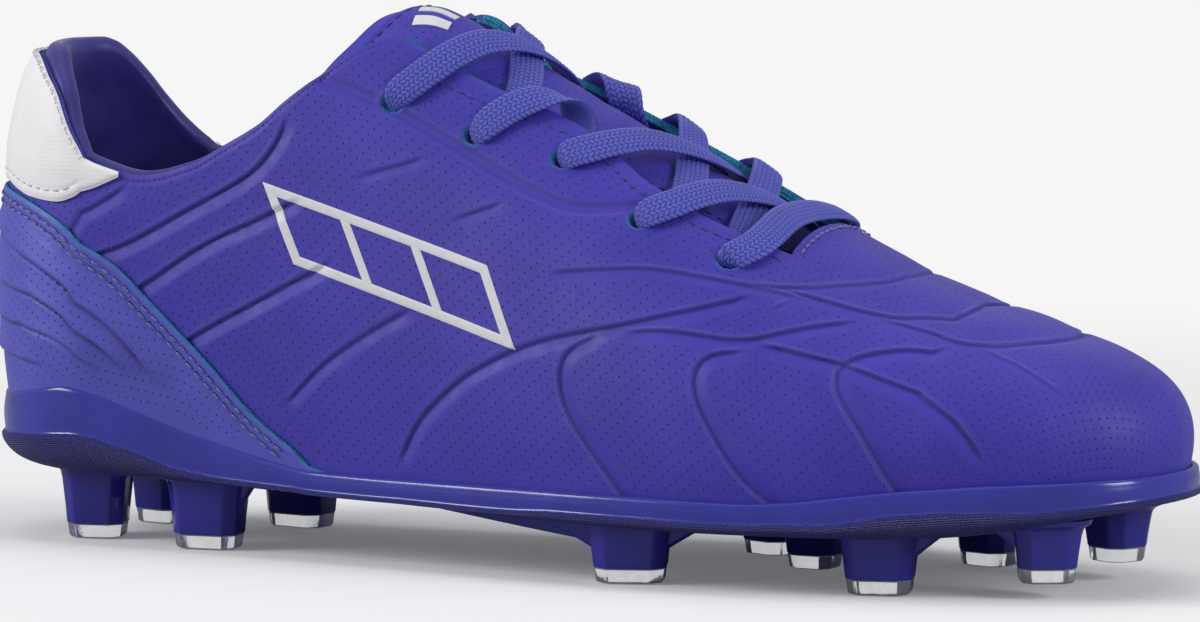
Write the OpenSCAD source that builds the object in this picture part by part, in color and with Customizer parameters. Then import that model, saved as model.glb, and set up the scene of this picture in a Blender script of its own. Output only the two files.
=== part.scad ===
// Junior soccer boot, right foot: moulded stud plate, stitched synthetic upper, padded
// tongue, flat lace and removable sockliner. Millimetres. +X runs from heel to toe, -Y is the
// outer (lateral) side of the foot, +Z is up. The origin lies on the ground, on the centre
// line of the boot, below the middle of its length.

/* [Boot] */
// Length of the boot along the sole, from the back of the heel to the toe
boot_length = 222; // [180:1:300]
// Thickness of the synthetic upper
upper_t = 1.2; // [0.9:0.1:1.2]
// Thickness of the heel overlay stitched on the outside of the upper
overlay_t = 0.8; // [0.5:0.1:1]
// Thickness of the white heel tab
tab_t = 0.7; // [0.5:0.1:1]

/* [Sole] */
// Wall thickness of the stud plate at its rim
rim_t = 1.3; // [1:0.1:1.6]
// Height of the clear tip on each stud
tip_h = 2.5; // [1.5:0.1:3]
// Thickness of the floor of the stud plate
floor_t = 2; // [1.5:0.1:2.2]
// Thickness of the foam of the removable sockliner
sockliner_t = 3; // [2:0.5:4]

/* [Tongue and lace] */
// Thickness of the tongue padding
tongue_foam_t = 3; // [2:0.5:4]
// Width of the flat lace
lace_w = 6; // [4:0.5:6.5]
// Thickness of the flat lace
lace_t = 0.9; // [0.6:0.1:1]
// Radius of the punched eyelets
eyelet_r = 1.7; // [1.6:0.1:2]

/* [Hidden] */

// All sizes below are for a boot of base_length, with x measured from the back of the heel.
base_length = 222;
middle_x = 110.7;   // middle of the boot's length
heel_x = 26;        // pivot of the rounded heel
toe_x = 186;        // pivot of the rounded toe
throat_x = 158;     // front end of the lace opening
crown_x = 83;       // highest point of the collar, where the lace opening starts
bend_x = 110;       // the centre line drifts to the medial side ahead of here
toe_shift = 1.5;    // drift of the centre line at the toe pivot
gap = 0.2;          // clearance between layers

// half widths of the upper, [x, half width]
HALF_LAT = [[26,27],[45,26.3],[70,27.2],[95,29.5],[115,32.5],[135,35.5],[150,36.6],[165,35.8],
  [178,33.3],[186,31.5]];
HALF_MED = [[26,27],[45,26],[70,25.2],[95,26.8],[115,29.6],[135,33],[155,35],[170,33.8],[186,31]];
// radius of the rounded ends, [angle from the tip, radius]
HEEL_R = [[0,26.8],[90,27]];
TOE_R_LAT = [[0,36],[20,34.8],[45,31.8],[70,30.3],[90,31.5]];
TOE_R_MED = [[0,36],[20,35.7],[45,33.5],[70,30.6],[90,31]];
// height of the instep ridge, of the sole rim and of the underside of the plate, [x, z]
RIDGE_Z = [[0,96.5],[26,96.5],[50,105],[65,105],[80,101.5],[100,91.5],[120,81],[140,70],
  [158,59.5],[175,51.3],[186,47.3]];
RIM_Z = [[0,25.5],[8,26],[15,27],[22,28],[28,27],[36,24.5],[45,21.6],[54,19.3],[64,17],[73,15.6],
  [90,15.3],[137,15.4],[156,15.3],[165,15.8],[175,17.1],[185,18.3],[200,19.5],[222,20.3]];
UNDER_Z = [[0,14.5],[8,12.8],[60,12],[100,11],[140,10],[180,10],[195,10.8],[207,12.4],[222,15]];
// exponent of the dome and how far the upper tucks in at the rim, [x, value]
DOME_POWER = [[0,3.2],[26,3],[60,2.5],[90,2.2],[120,2.1],[150,2.15],[175,2.3],[200,2.5],[222,2.5]];
TUCK = [[0,1.6],[40,1.4],[80,0.9],[150,0.7],[222,0.9]];
// collar height on each side, [station, z]
COLLAR_LAT = [[0,86],[0.4,85.8],[0.53,85],[0.73,81.3],[0.81,78.8],[0.86,76.2],[0.92,72.8],
  [0.98,69.8],[1.02,67.3],[1.07,65.6],[1.13,67.8],[1.17,71.2],[1.21,75.2],[1.24,79.4],
  [1.28,84.3],[1.32,88.8],[1.3563,91]];
COLLAR_MED = [[0,86],[0.3,86],[0.41,85.2],[0.53,82.8],[0.65,79],[0.75,74.8],[0.85,71],[0.96,68],
  [1.07,65.8],[1.13,67.8],[1.17,71.2],[1.21,75.2],[1.24,79.4],[1.28,84.3],[1.32,88.8],
  [1.3563,91]];
// half width of the lace opening on each side, [x, half width]
THROAT_LAT = [[83,14.8],[100,15],[116,14.4],[124,15.6],[132,17.8],[142,18.6],[150,18],
  [158,16.5],[186,14]];
THROAT_MED = [[83,14.3],[100,12.6],[116,12.2],[132,12.6],[150,13.2],[158,13],[186,14]];
EYE_X = [84.5, 100.5, 117, 133, 149.5];   // x of each eyelet row
eye_inset = 5.2;    // distance of the eyelets from the edge of the opening

// ---- curves ---------------------------------------------------------------------------
// smooth monotone curve through a table of [position, value]
function span(x, table, i = 0) =
  (i >= len(table) - 2 || x < table[i+1][0]) ? i : span(x, table, i + 1);
function slope(table, i) = (table[i+1][1] - table[i][1]) / (table[i+1][0] - table[i][0]);
function tangent(table, i) = i == 0 ? slope(table, 0)
  : i == len(table) - 1 ? slope(table, i - 1)
  : let(before = slope(table, i - 1), after = slope(table, i))
    before * after <= 0 ? 0 : 2 * before * after / (before + after);
function curve(x, table) =
  let(held = min(max(x, table[0][0]), table[len(table)-1][0]), i = span(held, table),
    from = table[i], to = table[i+1], width = to[0] - from[0],
    part = (held - from[0]) / width, square = part * part, cube = square * part)
  (2*cube - 3*square + 1) * from[1] + (cube - 2*square + part) * width * tangent(table, i)
  + (3*square - 2*cube) * to[1] + (cube - square) * width * tangent(table, i + 1);
function unit(vector) = vector / norm(vector);
function lerp(from, to, part) = from + (to - from) * part;
function ease(part) = part <= 0 ? 0 : part >= 1 ? 1 : part * part * (3 - 2 * part);

// ---- the last -------------------------------------------------------------------------
// lap runs round the boot: 0 is the back of the heel, 1 the sides of the heel, 2 the sides
// of the toe, 3 the toe tip. It is negative on the lateral side; its size is the station.
// climb goes up the side: below 0 it is millimetres under the rim, 0 the rim, 90 the ridge.
// side is -1 for lateral and 1 for medial.
function wrap(lap) = lap > 3 ? lap - 6 : lap < -3 ? lap + 6 : lap;
function side_of(value) = value < 0 ? -1 : 1;
function spine_x(lap) = heel_x + (toe_x - heel_x) * min(max(abs(lap) - 1, 0), 1);
function station_at(x) = 1 + (x - heel_x) / (toe_x - heel_x);
function radius(lap) = let(station = abs(lap))
  station < 1 ? curve(station * 90, HEEL_R)
  : station > 2 ? curve((3 - station) * 90, lap < 0 ? TOE_R_LAT : TOE_R_MED)
  : curve(spine_x(lap), lap < 0 ? HALF_LAT : HALF_MED);
// direction from the spine to the wall, seen from above
function radial(lap) = let(station = abs(lap), side = side_of(lap))
  station < 1 ? [-cos(station * 90), side * sin(station * 90)]
  : station > 2 ? [cos((3 - station) * 90), side * sin((3 - station) * 90)] : [0, side];
function centre_y(x) = x < bend_x ? 0 : toe_shift * (x - bend_x) / (toe_x - bend_x);
function wall_x(lap) = spine_x(lap) + radial(lap)[0] * radius(lap);
function at_wall(lap, table) = curve(wall_x(lap), table);
function rim_z(lap) = at_wall(lap, RIM_Z);
function under_z(lap) = at_wall(lap, UNDER_Z);
// point of a superellipse arch, [share of the width, share of the height]
function dome(climb, power) = let(across = cos(climb), up = sin(climb),
  size = pow(pow(across, power) + pow(up, power), 1 / power)) [across / size, up / size];
// point at height z, reach away from the spine
function from_spine(lap, reach, z) = let(x = spine_x(lap), way = radial(lap))
  [x + way[0] * reach, centre_y(x) + way[1] * reach, z];
function last_point(lap_in, climb) =
  let(lap = wrap(lap_in), wall = wall_x(lap), low = curve(wall, RIM_Z), tuck = curve(wall, TUCK))
  climb <= 0 ? from_spine(lap, radius(lap) - tuck, low + climb)
  : let(top = curve(spine_x(lap), RIDGE_Z), arch = dome(climb, curve(wall, DOME_POWER)),
      fade = max(0, 1 - climb / 20), reach = radius(lap) * arch[0] - tuck * fade * fade,
      drop = abs(lap) > 2 ? 0.3 * radial(lap)[0] * reach * (1 - arch[0] * arch[0]) : 0)
    from_spine(lap, reach, low + (top - low) * arch[1] - drop);
function ridge_normal(x) = unit([-(curve(x + 1, RIDGE_Z) - curve(x - 1, RIDGE_Z)) / 2, 0, 1]);
function last_normal(lap, climb) = climb > 89.5 ? ridge_normal(spine_x(wrap(lap)))
  : let(along = last_point(lap + 0.004, climb) - last_point(lap - 0.004, climb),
      up = last_point(lap, climb + 0.4) - last_point(lap, climb - 0.4)) unit(-cross(along, up));
// climb at height z, and at distance y from the centre line
function climb_at_z(lap, z) =
  let(low = rim_z(lap), power = at_wall(lap, DOME_POWER),
    up = (z - low) / (curve(spine_x(lap), RIDGE_Z) - low))
  up <= 0 ? z - low : atan2(up, pow(max(0, 1 - pow(min(up, 1), power)), 1 / power));
function climb_at_y(lap, y) =
  let(power = at_wall(lap, DOME_POWER), across = min(y / radius(lap), 1))
  atan2(pow(1 - pow(across, power), 1 / power), across);
// A frame is [point, normal], with the point moved out of the last by `out` millimetres.
function frame(lap, climb, out) = let(normal = last_normal(lap, climb))
  [last_point(lap, climb) + out * normal, normal];
function off_last(lap, climb, out) = frame(lap, climb, out)[0];
// frame on the instep, from x and the signed distance y
function instep_frame(x, y, out) = abs(y) < 0.05 ? frame(station_at(x), 90, out)
  : let(lap = side_of(y) * station_at(x)) frame(lap, climb_at_y(lap, abs(y)), out);
// frame on one side, from x and z
function side_frame(side, x, z, out) = let(lap = side * station_at(x))
  frame(lap, climb_at_z(lap, z), out);
function throat_half(side, x) = curve(x, side < 0 ? THROAT_LAT : THROAT_MED);
// edge of the upper: the collar behind the crown, the lace opening in front of it
function edge_climb(lap) = let(station = abs(lap), side = side_of(lap))
  station <= station_at(crown_x)
  ? climb_at_z(lap, curve(station, lap < 0 ? COLLAR_LAT : COLLAR_MED))
  : climb_at_y(side * min(station, 2), throat_half(side, spine_x(lap)));

// ---- solid builders -------------------------------------------------------------------
function tri(a, b, c) = (a == b || b == c || a == c) ? [] : [[a, b, c]];
function quad(ids) = concat(tri(ids[0], ids[1], ids[2]), tri(ids[0], ids[2], ids[3]));
// front and back face of a cell; back points are numbered `shift` after the front ones
function skins(cell, shift) =
  concat(quad([cell[0], cell[3], cell[2], cell[1]]), quad([for (id = cell) id + shift]));
function wall(from, to, shift) = quad([from, to, to + shift, from + shift]);

// Open sheet. point(i, j, face) is called with the values front and back; the front face
// is the one whose normal is i x j.
module sheet(columns, rows, point, front, back) {
  shift = (columns + 1) * (rows + 1);
  function id(i, j) = i * (rows + 1) + j;
  polyhedron(
    points = [for (face = [front, back], i = [0:columns], j = [0:rows]) point(i, j, face)],
    convexity = 8, faces = [
      for (i = [0:columns-1], j = [0:rows-1])
        each skins([id(i, j), id(i+1, j), id(i+1, j+1), id(i, j+1)], shift),
      for (i = [0:columns-1]) each concat(
        wall(id(i, 0), id(i+1, 0), shift), wall(id(i+1, rows), id(i, rows), shift)),
      for (j = [0:rows-1]) each concat(
        wall(id(0, j+1), id(0, j), shift), wall(id(columns, j), id(columns, j+1), shift))]);
}

// stations of a ring, from the heel to the toe
throat_station = station_at(throat_x);
STATIONS = concat([for (i = [0:10]) i / 11],
  [for (i = [0:15]) lerp(1, throat_station, i / 16)],
  [for (i = [0:2]) lerp(throat_station, 2, i / 3)],
  [for (i = [0:11]) 2 + i / 11]);
toe_index = len(STATIONS) - 1;
ring_count = 2 * toe_index;
// a ring starts at the heel, runs along the lateral side and comes back on the medial side
function ring_lap(i) = let(k = i % ring_count)
  k <= toe_index ? -STATIONS[k] : STATIONS[ring_count - k];
// in the last row, points of both sides that meet on the spine share one number
function ring_id(i, j, rows) =
  let(k = i % ring_count, twin = k <= toe_index ? k : ring_count - k, station = STATIONS[twin])
  j < rows ? k * (rows + 1) + j
  : (station <= 1 ? 0 : station >= 2 ? toe_index : twin) * (rows + 1) + rows;
// smaller station of the two ends of cell i
function cell_station(i) = min(abs(ring_lap(i)), abs(ring_lap(i + 1)));
// Closed ring whose last row meets on the spine. point(lap, j, face) is called with the
// values front and back; has(i, j) says which cells exist.
module ring(rows, point, front, back, has = function(i, j) true) {
  shift = ring_count * (rows + 1);
  polyhedron(
    points = [for (face = [front, back], i = [0:ring_count-1], j = [0:rows])
      point(ring_lap(i), j, face)],
    convexity = 8, faces = [
      for (i = [0:ring_count-1], j = [0:rows-1]) if (has(i, j))
        let(cell = [for (step = [[0,0],[1,0],[1,1],[0,1]]) ring_id(i + step[0], j + step[1], rows)])
        each concat(skins(cell, shift),
          j == 0 || !has(i, j - 1) ? wall(cell[0], cell[1], shift) : [],
          j < rows - 1 && !has(i, j + 1) ? wall(cell[2], cell[3], shift) : [],
          !has((i + 1) % ring_count, j) ? wall(cell[1], cell[2], shift) : [],
          !has((i + ring_count - 1) % ring_count, j) ? wall(cell[3], cell[0], shift) : [])]);
}
// solid through a list of sections, each a loop of points
module loft(sections) {
  size = len(sections[0]);
  last = (len(sections) - 1) * size;
  polyhedron(points = [for (section = sections) each section], convexity = 4, faces = concat(
    [for (j = [1:size-2]) [0, j, j + 1]],
    [for (j = [1:size-2]) [last, last + j + 1, last + j]],
    [for (i = [0:size:last-size], j = [0:size-1]) let(here = i + j, next = i + (j+1) % size)
      each [[here, here + size, next + size], [here, next + size, next]]]));
}
// flat band along a list of frames
module ribbon(frames, width, thickness) {
  last = len(frames) - 1;
  loft([for (i = [0:last])
    let(centre = frames[i][0], normal = frames[i][1],
      along = unit(frames[min(i+1, last)][0] - frames[max(i-1, 0)][0]),
      half_w = unit(cross(normal, along)) * width / 2, half_t = normal * thickness / 2)
    [centre - half_w - half_t, centre + half_w - half_t,
      centre + half_w + half_t, centre - half_w + half_t]]);
}
// turns the z axis of its children to a direction and moves them to a point
module aim(origin, way)
  translate(origin) rotate([0, acos(way[2]), atan2(way[1], way[0])]) children();
// moves the origin from the heel to the middle of the boot and sets the size
module fit() { scale(boot_length / base_length) translate([-middle_x, 0, 0]) children(); }

// ---- sole -----------------------------------------------------------------------------
toe_spring_x = 195;       // ahead of here the stud tips rise from the ground
toe_spring_slope = 0.3;
// studs: [x, y, length, width, turn, length of the fin ahead, length of the fin behind]
HEEL_STUDS = [[21,-12,10,8.5,14,0,0],[21,12,10,8.5,-14,0,0],
  [46.5,-17,11.5,8.5,8,4,0],[46.5,17,11.5,8.5,-8,4,0]];
FORE_STUDS = [[132.5,-25,12,9.5,20,9,9],[139,19,9.5,8.5,-20,5,5],[153.5,4.5,8.5,8,0,4,4],
  [176.5,-20.5,11,9,16,6,0],[179,21,9.5,8,-16,5,0],
  [203.5,-13.5,9.5,8.5,28,0,6],[205.5,13.5,9,8.5,-28,0,6]];
fin_half = 1.4;           // half thickness of a fin
// rows of the plate, rim to spine; faces: [lift, lip of row 2, share of the reach, inset]
PLATE_INSIDE = [floor_t, 0, [1, 1, 1, 0.82, 0.55, 0.28, 0], [-gap, -gap, -gap, 0, 0, 0, 0]];
PLATE_OUTSIDE = [0, 1.2, [1, 1, 1, 0.86, 0.57, 0.29, 0],
  [-rim_t, -rim_t - 0.5, -rim_t + 0.9, 0, 0, 0, 0]];
// how far the edge of the sockliner turns up, [x, height]
CUP = [[0,7],[60,6],[90,3],[120,1],[222,0.6]];
sockliner_inset = 6;

// point at a share of the way from the spine to a line `inset` inside the rim outline
function sole_point(lap, share, inset, z) =
  from_spine(lap, (radius(lap) - at_wall(lap, TUCK) - inset) * share, z);
function plate_point(lap, row, face) = let(top = rim_z(lap), low = under_z(lap) + face[0])
  sole_point(lap, face[2][row], face[3][row],
    row == 0 ? top : row == 1 ? (top + low) / 2 : row == 2 ? low + face[1] : low);
function ground_z(x) = max(0, x - toe_spring_x) * toe_spring_slope;
function stud_point(stud, along, across, z) = let(turn = stud[4])
  [stud[0] + along * cos(turn) - across * sin(turn),
    stud[1] + along * sin(turn) + across * cos(turn), z];
// rectangle with cut corners, larger than the stud by `grow` all round
function stud_ring(stud, grow, z) =
  let(long = stud[2] / 2 + grow, wide = stud[3] / 2 + grow, cut = min(long, wide) * 0.45)
  [for (p = [[long-cut,-wide], [long,-wide+cut], [long,wide-cut], [long-cut,wide],
      [-long+cut,wide], [-long,wide-cut], [-long,-wide+cut], [-long+cut,-wide]])
    stud_point(stud, p[0], p[1], z)];
module stud(stud) {
  low = ground_z(stud[0]) + tip_h + gap;
  top = curve(stud[0], UNDER_Z) + 0.8;
  half = stud[2] / 2;
  loft([stud_ring(stud, 0.2, low), stud_ring(stud, 1.1, top - 4), stud_ring(stud, 2.2, top)]);
  for (fin = [[stud[5], 1], [stud[6], -1]]) if (fin[0] > 0)
    loft([for (foot = [[half - 2, low + 1.5], [half + 0.6, low + 1.5], [half + fin[0], top - 1.2]])
      [for (corner = [[-1, foot[1]], [1, foot[1]], [1, top], [-1, top]])
        stud_point(stud, fin[1] * foot[0], fin[1] * corner[0] * fin_half, corner[1])]]);
}
module outsole_plate() color("#2a2680") fit() {
  ring(6, function(lap, row, face) plate_point(lap, row, face), PLATE_INSIDE, PLATE_OUTSIDE);
  for (stud = HEEL_STUDS) stud(stud);
  for (stud = FORE_STUDS) stud(stud);
}
module stud_tip(stud) translate([0, 0, ground_z(stud[0])]) linear_extrude(height = tip_h)
  polygon([for (p = stud_ring(stud, 0.2, 0)) [p[0], p[1]]]);
module stud_tips_heel() color("#c9ccda") fit() for (stud = HEEL_STUDS) stud_tip(stud);
module stud_tips_forefoot() color("#c9ccda") fit() for (stud = FORE_STUDS) stud_tip(stud);

// level on which the inner layers of the sole rest
function floor_z(lap) = under_z(lap) + floor_t + 0.45;
// flat layer between two heights above floor_z
module layer(shares, inset, top, bottom)
  ring(len(shares) - 1,
    function(lap, row, level) sole_point(lap, shares[row], inset, floor_z(lap) + level),
    top, bottom);
module strobel_board() color("#d8d4c6") fit()
  layer([1, 0.8, 0.55, 0.28, 0], inset = upper_t + 1.4, top = 1, bottom = 0);
// cupped sheet; faces: [height, extra inset of each row, share of the cup of each row]
module sockliner_foam() color("#3a3a46") fit() {
  shares = [1, 1, 0.9, 0.6, 0.3, 0];
  ring(5,
    function(lap, row, face) sole_point(lap, shares[row], sockliner_inset + face[1][row],
      floor_z(lap) + face[0] + at_wall(lap, CUP) * face[2][row]),
    front = [1 + sockliner_t, [1.2, 1.6, 0, 0, 0, 0], [1, 0.35, 0, 0, 0, 0]],
    back = [1.3, [0, 0.4, 0, 0, 0, 0], [1, 0.12, 0, 0, 0, 0]]);
}
module sockliner_cover() color("#2c2a78") fit()
  layer([0.88, 0.6, 0.3, 0], sockliner_inset,
    top = 1.7 + sockliner_t, bottom = 1 + sockliner_t + gap);

// ---- upper ----------------------------------------------------------------------------
side_rows = 8;            // rows from the rim to the edge
vamp_rows = 4;            // rows from the edge line to the ridge, ahead of the opening
lining_station = 1.26;    // the thin lining starts here, just ahead of the collar lining
// upper boundary of the heel overlay and lower boundary of the heel tab, [station, z]
OVERLAY = [[0,62.6],[0.3,62.4],[0.55,61.6],[0.7,60.4],[0.86,58],[0.98,54.6],[1.04,50.4],
  [1.09,43.5],[1.15,35],[1.225,23.8],[1.285,17.6]];
TAB_LOW = [[0,63.4],[0.45,63.4],[0.59,62.3],[0.71,61.2],[0.88,60.6],[0.97,61.6],[1.01,62.9],
  [1.045,65.2]];

function row_climb(lap, row, low) = let(edge = edge_climb(lap)) row == 0 ? low
  : row <= side_rows ? edge * (row - 1) / (side_rows - 1)
  : lerp(edge, 90, (row - side_rows) / vamp_rows);
// the lining starts above the rim and stays a little below the edge
function lining_climb(lap, row) = row == 0 ? 1.2
  : row_climb(lap, row, 0) * (row < side_rows ? 0.985 : 1) + (row == 1 ? 4 : 0);
// the rows above the edge exist only ahead of the lace opening
function upper_has(i, row) = row < side_rows || cell_station(i) > throat_station - 0.001;
function eyelet_y(side, x) = side * (throat_half(side, x) + eye_inset);
module eyelets() for (side = [-1, 1], x = EYE_X)
  let(spot = instep_frame(x, eyelet_y(side, x), 0))
  aim(spot[0], spot[1]) translate([0, 0, -3.4]) cylinder(h = 5, r = eyelet_r, $fn = 20);
module upper_shell() color("#41379b") fit() difference() {
  ring(side_rows + vamp_rows,
    function(lap, row, out) off_last(lap, row_climb(lap, row, floor_z(lap) - rim_z(lap)), out),
    front = 0, back = -upper_t, has = function(i, row) upper_has(i, row));
  eyelets();
}
module quarter_lining() color("#35308a") fit() difference() {
  ring(side_rows + vamp_rows,
    function(lap, row, out) off_last(lap, lining_climb(lap, row), out),
    front = -upper_t - 1.15, back = -upper_t - 1.65,
    has = function(i, row) cell_station(i) > lining_station && upper_has(i, row));
  eyelets();
}
// patch round the heel to station `reach` on both sides, between the climbs low and high
module heel_patch(reach, columns, rows, low, high, outer, inner)
  sheet(columns, rows,
    function(i, j, out) let(lap = lerp(reach, -reach, i / columns))
      off_last(lap, lerp(low(lap), high(lap), j / rows), out),
    outer, inner);
module heel_counter() color("#b9b2a0") fit()
  heel_patch(1.22, 26, 4, low = function(lap) 2,
    high = function(lap) climb_at_z(lap, 50 - 10 * max(0, abs(lap) - 0.9) / 0.32),
    outer = -upper_t - gap, inner = -upper_t - 1);
module toe_puff() color("#b9b2a0") fit()
  sheet(20, 5,
    function(i, j, out) off_last(lerp(-2.1, -3.9, i / 20), lerp(2, 52, j / 5), out),
    front = -upper_t - gap, back = -upper_t - 0.7);
module heel_overlay() color("#463c9e") fit()
  heel_patch(1.28, 56, 6, low = function(lap) climb_at_z(lap, rim_z(lap) + 0.3),
    high = function(lap) climb_at_z(lap, curve(abs(lap), OVERLAY)),
    outer = overlay_t + gap, inner = gap);
function tab_low_z(lap) = curve(abs(lap), TAB_LOW);
module heel_tab() color("#ecebf0") fit()
  heel_patch(1.04, 32, 5, low = function(lap) climb_at_z(lap, tab_low_z(lap)),
    high = function(lap) edge_climb(lap), outer = tab_t + gap, inner = gap);
module collar_foam() color("#5a5a66") fit()
  heel_patch(1.23, 40, 5, low = function(lap) climb_at_z(lap, 53),
    high = function(lap) edge_climb(lap) * 0.985, outer = -upper_t - 0.3, inner = -upper_t - 3);
module collar_lining() color("#2f2a7c") fit()
  heel_patch(1.24, 42, 7, low = function(lap) 3,
    high = function(lap) edge_climb(lap), outer = -upper_t - 3.2, inner = -upper_t - 3.75);
// strip along the edge of the lace opening
module eyestay_backing(side) difference() {
  sheet(20, 3,
    function(i, j, out) let(x = lerp(84, 157.5, (side < 0 ? i : 20 - i) / 20))
      instep_frame(x, side * (throat_half(side, x) + lerp(9.5, -0.3, j / 3)), out)[0],
    front = -upper_t - 0.4, back = -upper_t - 0.9);
  eyelets();
}
module eyestay_backing_lateral() color("#256f8e") fit() eyestay_backing(-1);
module eyestay_backing_medial() color("#256f8e") fit() eyestay_backing(1);

// ---- tongue ---------------------------------------------------------------------------
// half width on each side, [x, half width]
TONGUE_LAT = [[64,19],[74,20.5],[100,19.5],[148,15.5]];
TONGUE_MED = [[64,15],[74,16.5],[100,16],[148,12]];
// slanted free end, [share of the way from the lateral to the medial edge, x]
TONGUE_END = [[0,66],[0.15,72.5],[0.29,76],[0.435,78.5],[0.7,81],[0.88,83],[1,84]];
tongue_top = -upper_t - 3.4;          // outer face of the tongue
tongue_face_low = tongue_top - 0.8;   // inner face of its outer layer

// the free end dips into the boot
function tongue_point(x, y, out) = instep_frame(x, y, out - 3.4 * ease((88 - x) / 14))[0];
// layer cut back by `trim` at the free end and by `inset` at the sides
module tongue_layer(outer, inner, trim, front_x, inset)
  sheet(16, 10,
    function(i, j, out) let(x = lerp(curve(j / 10, TONGUE_END) + trim, front_x, i / 16))
      tongue_point(x, lerp(-curve(x, TONGUE_LAT) + inset, curve(x, TONGUE_MED) - inset, j / 10),
        out),
    outer, inner);
module tongue_face() color("#3f3596") fit()
  tongue_layer(tongue_top, tongue_face_low, trim = 0, front_x = 148, inset = 0);
module tongue_foam() color("#5a5a66") fit()
  tongue_layer(tongue_top - 1.4, tongue_face_low - tongue_foam_t,
    trim = 3, front_x = 146, inset = 1.2);
module tongue_lining() color("#2f2a7c") fit()
  tongue_layer(tongue_top - 1.1 - tongue_foam_t, tongue_top - 1.6 - tongue_foam_t,
    trim = 2.5, front_x = 147, inset = 0.6);
module tongue_badge() color("#e9e8ef") fit()
  sheet(4, 4,
    function(i, j, out) tongue_point(lerp(83, 90.6, i / 4), lerp(-11.5, -1, j / 4), out),
    front = tongue_top + 0.45, back = tongue_top + 0.25);

// ---- lace -----------------------------------------------------------------------------
lace_over = lace_t / 2 + 0.6;                // level of the lace on top of the upper
lace_below = -upper_t - 2.12 - lace_t / 2;   // level of the lace under the upper

// strap from below the edge on the far side to the top of the eyelet on `side`, one row back
module strap(side, row) {
  x0 = EYE_X[row];
  x1 = EYE_X[row - 1];
  edge0 = -side * throat_half(-side, x0);
  edge1 = side * throat_half(side, x1);
  low = side < 0 ? 0.1 : 0.38;    // share of the way between the edges spent on the tongue
  // the crossing leans forward where it passes the medial edge
  lean = function(part) let(from_medial = side < 0 ? part : 1 - part)
    5 * ease(from_medial / 0.12) * exp(-pow((from_medial - 0.22) / 0.24, 2));
  ribbon([for (i = [0:20])
    let(part = i / 20, y = lerp(eyelet_y(-side, x0), eyelet_y(side, x1), part),
      way = (y - edge0) / (edge1 - edge0))
    instep_frame(lerp(x0, x1, part) + lean(part), y,
      lerp(lace_below, lace_over, ease((way - low) / (0.97 - low))))],
    lace_w * 0.96, lace_t);
}
// square peg through an eyelet, joining the lace above and below
module post(side, x)
  ribbon([for (out = [lace_over, lace_below])
    [instep_frame(x, eyelet_y(side, x), out)[0], [1, 0, 0]]], 2, 2);
// tail of the lace, tucked down inside the quarter
function tail_climb(side) =
  climb_at_y(side * station_at(EYE_X[0]), abs(eyelet_y(side, EYE_X[0])));
module tail(side)
  ribbon([for (i = [0:5]) frame(side * station_at(EYE_X[0] + 1.4 * i),
    tail_climb(side) - 2.2 * i, lace_below - 0.12 * i)], 4, lace_t);
module front_bar() let(x = EYE_X[4])
  ribbon([for (i = [0:12])
    instep_frame(x + 0.6, lerp(eyelet_y(-1, x), eyelet_y(1, x), i / 12), lace_over + 0.25)],
    lace_w, lace_t);
module shoelace() color("#5049b4") fit() {
  for (row = [1:4], side = [-1, 1]) strap(side, row);
  front_bar();
  for (side = [-1, 1]) {
    for (x = EYE_X) post(side, x);
    tail(side);
  }
}
module lace_aglets() color("#2b2670") fit() for (side = [-1, 1])
  let(ends = [for (ahead = [9, 21])
      off_last(side * station_at(EYE_X[0] + ahead), tail_climb(side) - 13, lace_below - 0.9)],
    along = ends[1] - ends[0], way = unit(along))
  aim(ends[0] + way * gap, way) cylinder(h = norm(along) - gap, r = 1.1, $fn = 20);

// ---- prints and stitching -------------------------------------------------------------
// plain slanted ladder figure of thin bars on the side of the quarter, corners as [x, z]
PRINT = [[63, 64], [106, 52], [112, 40], [69, 52]];
module side_print(side)
  for (bar = concat([for (i = [0:3]) [PRINT[i], PRINT[(i + 1) % 4]]],
      [for (part = [0.34, 0.67])
        [lerp(PRINT[0], PRINT[1], part), lerp(PRINT[3], PRINT[2], part)]]))
    ribbon([for (i = [0:6]) let(spot = lerp(bar[0], bar[1], i / 6))
      side_frame(side, spot[0], spot[1], 0.25)], 1.6, 0.2);
module side_print_lateral() color("#e9e8ef") fit() side_print(-1);
module side_print_medial() color("#e9e8ef") fit() side_print(1);
module stitch_line(frames) ribbon(frames, 0.5, 0.25);
// two lines on each side, below the upper boundary of the heel overlay
module heel_stitching() color("#25407a") fit() for (side = [-1, 1], line = [1, 2.1])
  stitch_line([for (i = [0:22])
    let(part = i / 22,
      station = part < 0.4 ? 0.05 + 0.81 * part / 0.4 : lerp(0.86, 1.245, (part - 0.4) / 0.6),
      lap = side * station * (1 - 0.006 * line))
    frame(lap, climb_at_z(lap, curve(station, OVERLAY) - 1.1 * line), overlay_t + 0.55)]);
// a line along each edge of the lace opening and one across its front end
module throat_stitching() color("#25407a") fit() {
  for (side = [-1, 1])
    stitch_line([for (i = [0:10]) let(x = lerp(108, 128, i / 10))
      instep_frame(x, side * (throat_half(side, x) + 1.1), 0.3)]);
  stitch_line([for (i = [0:12]) instep_frame(throat_x + 1.4, lerp(-15, 13, i / 12), 0.3)]);
}
module tab_stitching() color("#cfcfda") fit()
  stitch_line([for (i = [0:24]) let(lap = lerp(0.95, -0.95, i / 24))
    frame(lap, climb_at_z(lap, tab_low_z(lap) + 1.8), tab_t + 0.5)]);

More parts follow.
